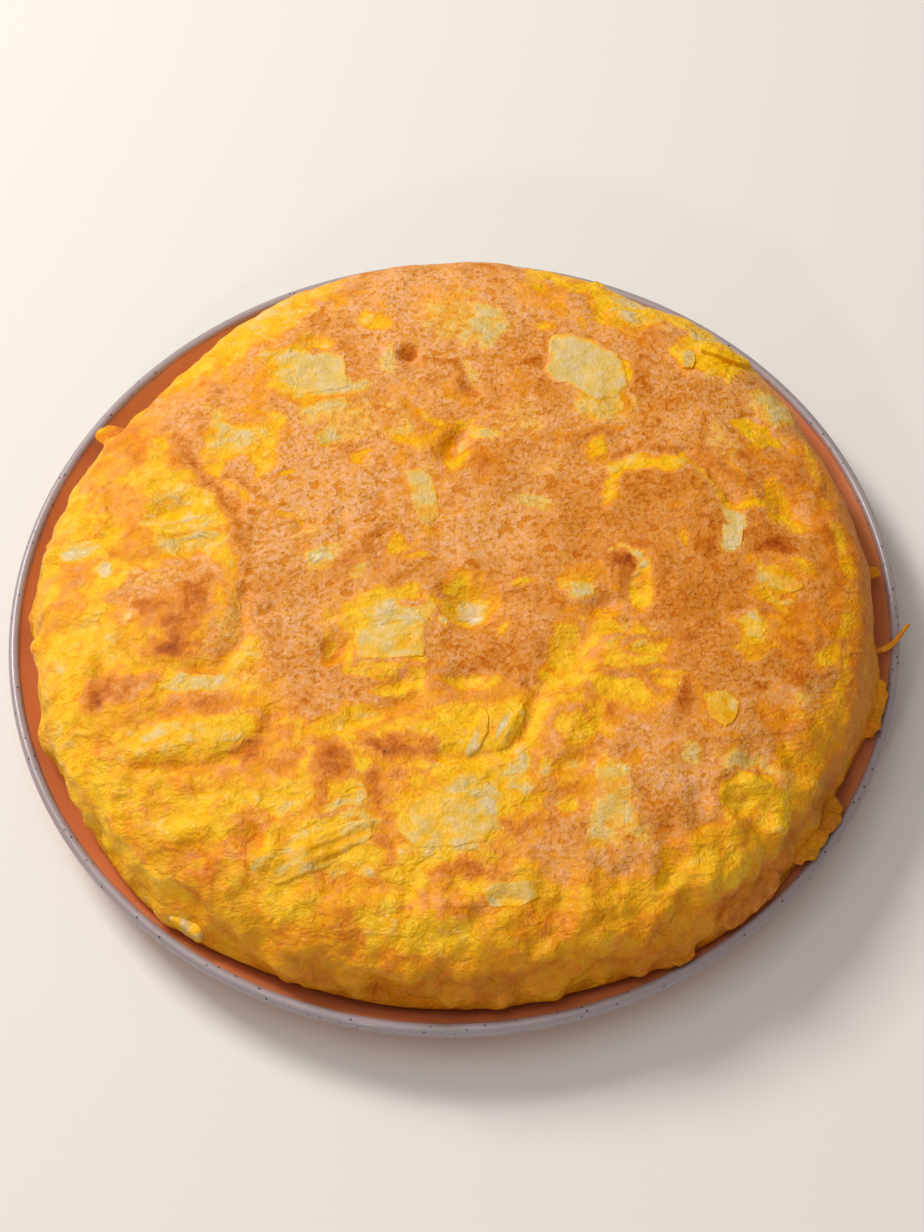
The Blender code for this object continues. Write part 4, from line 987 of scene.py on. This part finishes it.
for name, row in FLAKES.items():
    turn, root, tip, root_height, tip_height, root_width, tip_width, thick, cup = row
    flake, flat = sheet_grid(name, 22, int(max(14, root_width * 1.6)))
    along, across = flat[:, 0] / 2 + 0.5, flat[:, 1] / 2
    width = root_width + (tip_width - root_width) * along ** 2
    worn = np.stack([across * width, along * 3 + turn, np.zeros(len(along))], 1)
    ragged = 1.0 * clouds(worn, 5.5, 71) * along + 0.7 * clouds(worn, 1.8, 72) * along
    ragged -= 1.4 * along * (2 * across) ** 4
    wave = 0.5 * clouds(worn, 4.0, 73) * along
    radius = np.minimum(root + (tip - root) * along + ragged, FARTHEST_TIP)
    edge = np.sqrt(np.clip(1 - along ** 6, 0, 1)) * np.sqrt(np.clip(1 - (2 * across) ** 6, 0, 1))
    height = root_height + (tip_height - root_height) * along + cup * np.abs(across) + wave
    height = np.maximum(height, OVER_LIP)
    angle = math.radians(turn)
    ahead = np.array([math.cos(angle), math.sin(angle), 0.0])
    beside = np.array([-math.sin(angle), math.cos(angle), 0.0])
    place = radius[:, None] * ahead + (across * width)[:, None] * beside
    place[:, 2] = height - 0.3 * (1 - edge)
    move_corners(flake, place * 0.001)
    solidify(flake, thick * 0.001, 0.0)
    bpy.ops.object.shade_smooth()
    write_paint(flake, paint(corners(flake)))
    finish_piece(flake, set_egg, "egg")

bpy.ops.object.select_all(action="DESELECT")
bpy.ops.curve.primitive_nurbs_path_add()
thread = bpy.context.object
thread.name = "egg_thread"
line = thread.data
line.splines.clear()
drawn = line.splines.new("NURBS")
drawn.points.add(len(THREAD) - 1)
drawn.order_u = 4
drawn.use_endpoint_u = True
for index, point in enumerate(THREAD):
    drawn.points[index].co = (*(Vector(point) * 0.001), 1.0)
    drawn.points[index].radius = 1.0 - 0.5 * index / (len(THREAD) - 1)
line.resolution_u = 8
line.bevel_depth = THREAD_RADIUS * 0.001
line.bevel_resolution = 3
line.use_fill_caps = True
bpy.ops.object.convert(target="MESH")
thread = bpy.context.object
open_edit(thread)
bpy.ops.mesh.remove_doubles(threshold=0.00001)
bpy.ops.mesh.normals_make_consistent(inside=False)
bpy.ops.object.mode_set(mode="OBJECT")
bpy.ops.object.shade_smooth()
write_paint(thread, paint(corners(thread)))
finish_piece(thread, set_egg, "egg")


# The bare potato
# Slices, slabs and dice of potato, cut by hand 5 mm thick and fried soft in oil before
# they went into the egg. These came to lie against the pan, so their cut faces show
# almost flush in the skin, and the egg set round them and holds them.

egg_surface = BVHTree.FromPolygons([Vector(place) for place in corners(egg)],
                                   [tuple(face.vertices) for face in egg.data.polygons])


def skin_height(x, y):
    """Height in mm of the omelette's skin over places in mm on its top."""
    found = [egg_surface.ray_cast(Vector((across * 0.001, along * 0.001, 0.1)),
                                  Vector((0, 0, -1)))[0] for across, along in zip(x, y)]
    return np.array([spot.z * 1000 if spot else 20.0 for spot in found])


def outline_reach(outline, middle, angles):
    """Distance from a middle to a closed outline in each direction, all in mm."""
    reach = np.zeros(len(angles))
    closed = [np.array(point) - middle for point in (*outline, outline[0])]
    for a, b in zip(closed, closed[1:]):
        run = b - a
        cross = np.cos(angles) * run[1] - np.sin(angles) * run[0]
        safe = np.where(np.abs(cross) < 1e-9, 1e-9, cross)
        far = (a[0] * run[1] - a[1] * run[0]) / safe
        part = (a[0] * np.sin(angles) - a[1] * np.cos(angles)) / safe
        hit = (part >= -1e-6) & (part <= 1 + 1e-6) & (far > 0)
        reach = np.where(hit, np.maximum(reach, far), reach)
    return reach


SLICE_CELLS = 36
RIM_SHARE = 0.88                    # from here out the face turns down into the egg
SUNK_RIM = 1.1                      # mm under the skin
FACE_WET = 0.3                      # how far a cut face shines as wet egg does


def laid_slice(name, outline, lift, thick, seed, ridges=None):
    """A slice that lies in the skin: its outline in mm, how far its face stands proud."""
    slab, flat = sheet_grid(name, SLICE_CELLS, SLICE_CELLS)
    share, angle = disc_places(flat[:, 0], flat[:, 1])
    middle = np.mean(outline, 0)
    far = outline_reach(outline, middle, angle)
    edge_place = np.stack([np.cos(angle) * 12, np.sin(angle) * 12, np.full(len(angle), seed)], 1)
    far *= 1 + 0.05 * clouds(edge_place, 4.0, 81) + 0.03 * clouds(edge_place, 1.6, 82)
    x = middle[0] + np.cos(angle) * far * share
    y = middle[1] + np.sin(angle) * far * share
    spot = np.stack([x, y, np.full(len(x), seed)], 1)
    face = lift + 0.21 * clouds(spot, 6.0, 83) + 0.12 * clouds(spot, 2.4, 84)
    if ridges:
        turn, gap, height = ridges
        along, across = turn_places(x, y, turn)
        strands = np.stack([across, along / 9, np.full(len(x), seed)], 1)
        face += height * clouds(strands, gap, 85)
    face -= (lift + SUNK_RIM) * smooth_step((share - RIM_SHARE) / (1 - RIM_SHARE)) ** 1.5
    place = np.stack([x, y, skin_height(x, y) + face], 1)
    move_corners(slab, place * 0.001)
    solidify(slab, thick * 0.001)
    bpy.ops.object.shade_smooth_by_angle(angle=math.radians(60))
    return slab, share


def paint_slice(piece, share, base, spots, cover, seed, leaf=None):
    """Finish of a cut face: its own tone in the middle, the skin's where that laps over.

    Spots are tone, how strong and size in mm. On a leaf they are drawn out in its direction.
    """
    places = corners(piece) * 1000
    x, y, z = places.T
    spotted = places
    if leaf is not None:
        along, across = turn_places(x, y, leaf)
        spotted = np.stack([across, along / 7, z / 7], 1)
    share = np.resize(share, len(places))
    around = paint(places * 0.001)
    own = np.tile((*TONES[base], FACE_WET), (len(places), 1))
    for index, (tone, strength, size) in enumerate(spots):
        spot = clouds(spotted, size, 91 + index + seed) * 1.6 + 0.2
        lay(own, tone, strength * smooth_step(spot), FACE_WET)
    over = z - skin_height(x, y)
    torn = 0.7 * clouds(places, 4.0, 95) + 0.5 * clouds(places, 2.4, 96)
    bare = smooth_step((1.0 - share + 0.12 * torn) / 0.24) * (1 - cover)
    bare *= smooth_step(over + 1.5)
    write_paint(piece, around + (own - around) * bare[:, None])


# Fried potato: pale and a little waxy, with a grain of cooked starch, drawn 1 mm across
# because finer grains wouldn't show, and stained yellow by the egg at its edges.
fried_potato = cooked_food("fried_potato", 0.3, 0.2, 0.7)

# Node, lift, thickness, base tone, spots, how far the skin covers it, outline in mm.
SLICES = (
    ("potato_slice_large", 0.34, 4.5, "potato", (("pale", 0.3, 9), ("cream", 0.4, 5)), 0.0,
     ((28, 67), (29.5, 73), (31, 82), (37, 83.5), (42, 82), (48, 79), (53, 74), (55, 68),
      (55, 60), (51, 55.5), (45, 53.5), (41, 57), (37, 60.5), (31, 61.5))),
    ("potato_slab_back", 0.2, 4.5, "potato", (("olive", 0.5, 8), ("pale", 0.4, 5)), 0.0,
     ((-45.5, 69), (-44.5, 76), (-36, 79), (-29, 77), (-27.8, 62.5), (-35, 61.6), (-42, 61.5))),
    ("potato_slice_middle", 0.1, 3.8, "potato", (("wheat", 0.7, 6),), 0.25,
     ((-13, 34), (-8, 35), (-4.5, 31), (-3, 24), (-2.5, 16), (-5, 13), (-9, 14), (-11.5, 22))),
    ("potato_chunk_centre", 0.25, 5.5, "cream", (("olive", 0.6, 5), ("pale", 0.6, 4)), 0.1,
     ((-28.6, -19.5), (-24, -18.6), (-14, -18.6), (-7, -19.5), (-6.2, -27), (-8, -30.4),
      (-20, -30.6), (-28.4, -29.6))),
    ("potato_slice_front", 0.2, 4.5, "cream", (("bright", 0.5, 3), ("pale", 0.6, 5)), 0.1,
     ((-17, -76), (-14, -72), (-8, -70.5), (2, -71), (9, -76), (11, -82), (8, -87), (-2, -88),
      (-12, -88), (-17.5, -83))),
    ("potato_dice_right", 0.2, 5.5, "olive", (("potato", 0.5, 4),), 0.0,
     ((67, -43.5), (74, -42), (78, -46.5), (76.5, -52), (73, -55.5), (68.5, -52))),
    ("potato_dice_small", 0.16, 4.5, "pale", (("potato", 0.4, 4),), 0.1,
     ((80.4, -20.6), (86, -19.8), (87.4, -24), (85, -27), (81.4, -26.4))),
    ("potato_slice_right", 0.1, 3.8, "olive", (("wheat", 0.6, 4), ("pale", 0.5, 6)), 0.3,
     ((86, -3), (91, -1.5), (98, -6), (100, -10), (95, -12), (89, -9))),
    ("potato_chip_right", 0.16, 3.8, "potato", (("lilac", 0.4, 4), ("olive", 0.6, 6)), 0.1,
     ((79, 15.5), (83, 16.5), (84, 10), (82.5, 3), (78, 3), (76.6, 8))),
    ("potato_strip_front", 0.1, 3.8, "wheat", (("potato", 0.8, 6),), 0.35,
     ((36.4, -63.5), (42, -62.6), (44.5, -72), (44, -84), (39, -85), (36, -76))),
    ("potato_slab_front", 0.14, 3.8, "potato", (("olive", 0.6, 6), ("pale", 0.7, 4)), 0.1,
     ((4, -99), (10, -96.4), (20, -96.8), (21, -101), (15, -104), (6, -104))),
)
for seed, (node, lift, thick, base, spots, cover, outline) in enumerate(SLICES):
    piece, share = laid_slice(node.replace("potato", "bare_potato"), outline, lift, thick, seed)
    paint_slice(piece, share, base, spots, cover, seed)
    finish_piece(piece, fried_potato, "potato", node)


# The potato in the side
# Two more cut pieces that were pressed against the pan's wall: a slab at the lower right
# and a chunk at the lower left, each held by the egg it leans in.

SIDE_WET = 0.4
for node, tones in (("potato_slab_side", ("tan", "amber", "brown")),
                    ("potato_chunk_base", ("potato", "pale", "yolk"))):
    bpy.ops.object.select_all(action="DESELECT")
    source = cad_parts[node]
    piece = source.copy()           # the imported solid, whose corners are then worn round
    piece.data = source.data.copy()
    piece.name = node.replace("potato", "bare_potato")
    for key in list(piece.keys()):
        del piece[key]
    piece.parent = None
    bpy.context.scene.collection.objects.link(piece)
    open_edit(piece)
    bpy.ops.mesh.remove_doubles(threshold=0.00002)
    bpy.ops.object.mode_set(mode="OBJECT")
    fine = piece.modifiers.new("fine", "REMESH")
    fine.mode = "VOXEL"
    fine.voxel_size = 0.0005
    bpy.ops.object.modifier_apply(modifier=fine.name)
    worn = piece.modifiers.new("worn", "SMOOTH")
    worn.factor, worn.iterations = 0.6, 5
    bpy.ops.object.modifier_apply(modifier=worn.name)
    bpy.ops.object.shade_smooth()
    places = corners(piece) * 1000
    middle = places.mean(0)
    away = (places - middle) / np.linalg.norm(places - middle, axis=1)[:, None]
    places += away * (0.35 * clouds(places, 4.0, 87) + 0.2 * clouds(places, 1.8, 88))[:, None]
    move_corners(piece, places * 0.001)
    own = np.tile((*TONES[tones[0]], SIDE_WET), (len(places), 1))
    for index, tone in enumerate(tones[1:]):
        spot = clouds(places, 3.5 - index, 97 + index) * 1.6
        lay(own, tone, 0.7 * smooth_step(spot), SIDE_WET)
    write_paint(piece, own)
    piece.data.materials.clear()
    finish_piece(piece, fried_potato, "potato", node)


# The onion
# Onion fried soft with the potato: petals and layers one leaf thick, slippery and half
# see-through, streaked along the leaf. They lie in the skin where they touched the pan.

# Soft fried onion: half see-through and slippery, with no pores and calm folds.
onion_leaf = cooked_food("soft_fried_onion", 0.0, 0.6, 0.9)

# Node, lift, thickness, base tone, spots, ridges (turn, gap, height), outline in mm.
LEAVES = (
    ("onion_petal_outer", 0.3, 2.6, "bright", (("olive", 0.8, 2.2), ("white", 0.7, 1.9)),
     (64, 1.6, 0.5), ((7.5, -45), (9, -48.5), (8.6, -54), (6, -59), (2.5, -61.4), (1, -59),
                      (2.4, -54), (4, -49))),
    ("onion_petal_inner", 0.36, 2.6, "pale", (("bright", 0.8, 2.2), ("white", 0.9, 1.9)),
     (58, 1.6, 0.5), ((18, -43.5), (19.2, -47), (18, -53), (14, -58.5), (10, -60),
                      (9.4, -57), (11, -51), (14, -46))),
    ("onion_layer_front", 0.34, 2.6, "olive", (("bright", 0.9, 2.3), ("cream", 0.8, 1.9)),
     (22, 1.7, 0.5), ((-52.5, -92), (-50, -87.5), (-40, -82), (-28, -78), (-22, -77.6),
                      (-22, -83), (-30, -89), (-40, -93), (-50, -95.4))),
    ("onion_strip_rim", 1.7, 3.4, "yolk", (("pale", 0.7, 5), ("cream", 0.3, 4)),
     (-12, 2.6, 0.35), ((75.8, 77.5), (80, 79.4), (88, 78), (93, 75), (93.2, 72.4), (89, 70.6),
                        (81, 72.4), (76, 74.4))),
    ("onion_ring_rim", 0.8, 2.6, "cream", (("pale", 0.7, 4),),
     (80, 1.6, 0.3), ((70.6, 73), (72.6, 75.2), (75, 74), (75, 70), (73.6, 67), (70.8, 67.4))),
)
for seed, (node, lift, thick, base, spots, ridges, outline) in enumerate(LEAVES, 20):
    name = node.replace("onion", "fried_onion")
    piece, share = laid_slice(name, outline, lift, thick, seed, ridges)
    paint_slice(piece, share, base, spots, 0.0, seed, ridges[0])
    finish_piece(piece, onion_leaf, "onion", node)


# The floor, the light and the camera
# A pale floor, a wide soft light from the upper left and behind, a weak one overhead, a
# small one from the near side that draws the sharp highlights, and the photograph's angle:
# 59 degrees up, 0.72 m from the plate.

bpy.ops.mesh.primitive_plane_add(size=6.0)
floor = bpy.context.object
floor.name = "floor"
paper, tree, shader = new_material("pale_floor")
set_inputs(tree, shader, {"Base Color": (*linear("#e4ded6"), 1), "Roughness": 0.8})
floor.data.materials.append(paper)


def soft_light(name, place, size, power, colour):
    """A square soft box that looks at the plate."""
    box = bpy.data.lights.new(name, "AREA")
    box.size = size
    box.energy = power
    box.color = colour
    lamp = bpy.data.objects.new(name, box)
    bpy.context.scene.collection.objects.link(lamp)
    lamp.location = place
    lamp.rotation_euler = (-Vector(place)).to_track_quat("-Z", "Y").to_euler()


soft_light("window", (-0.80, 0.75, 1.15), 0.5, 20.5, (1.0, 0.985, 0.96))
soft_light("ceiling", (-0.25, -0.25, 1.6), 1.2, 6.6, (1.0, 1.0, 1.0))
soft_light("far_window", (-0.45, -1.2, 0.75), 0.07, 2.2, (1.0, 1.0, 1.0))
sky = bpy.data.worlds.new("room")
sky.use_nodes = True
set_inputs(sky.node_tree, sky.node_tree.nodes["Background"],
           {"Color": (1.0, 0.99, 0.97, 1), "Strength": 0.24})
bpy.context.scene.world = sky
bpy.context.scene.view_settings.view_transform = "Standard"

ELEVATION = math.radians(59.32)
ROLL = math.radians(-2.01)
DISTANCE = 0.7231
AIM = Vector((0.00243, 0.00997, 0.0))
SENSOR = 36.0
LENS_SHARE = 2400 / 1232            # focal length over the picture's height, in its pixels
view = bpy.data.cameras.new("camera")
view.sensor_fit = "VERTICAL"
view.sensor_height = SENSOR
view.lens = LENS_SHARE * SENSOR
view.clip_start = 0.01
camera = bpy.data.objects.new("camera", view)
bpy.context.scene.collection.objects.link(camera)
ahead = Vector((0.0, math.cos(ELEVATION), -math.sin(ELEVATION)))
right = Vector((1.0, 0.0, 0.0))
above = right.cross(ahead)
turned_right = right * math.cos(ROLL) + above * math.sin(ROLL)
turned_up = above * math.cos(ROLL) - right * math.sin(ROLL)
camera.matrix_world = Matrix((turned_right, turned_up, -ahead)).transposed().to_4x4()
camera.location = AIM - ahead * DISTANCE
bpy.context.scene.camera = camera
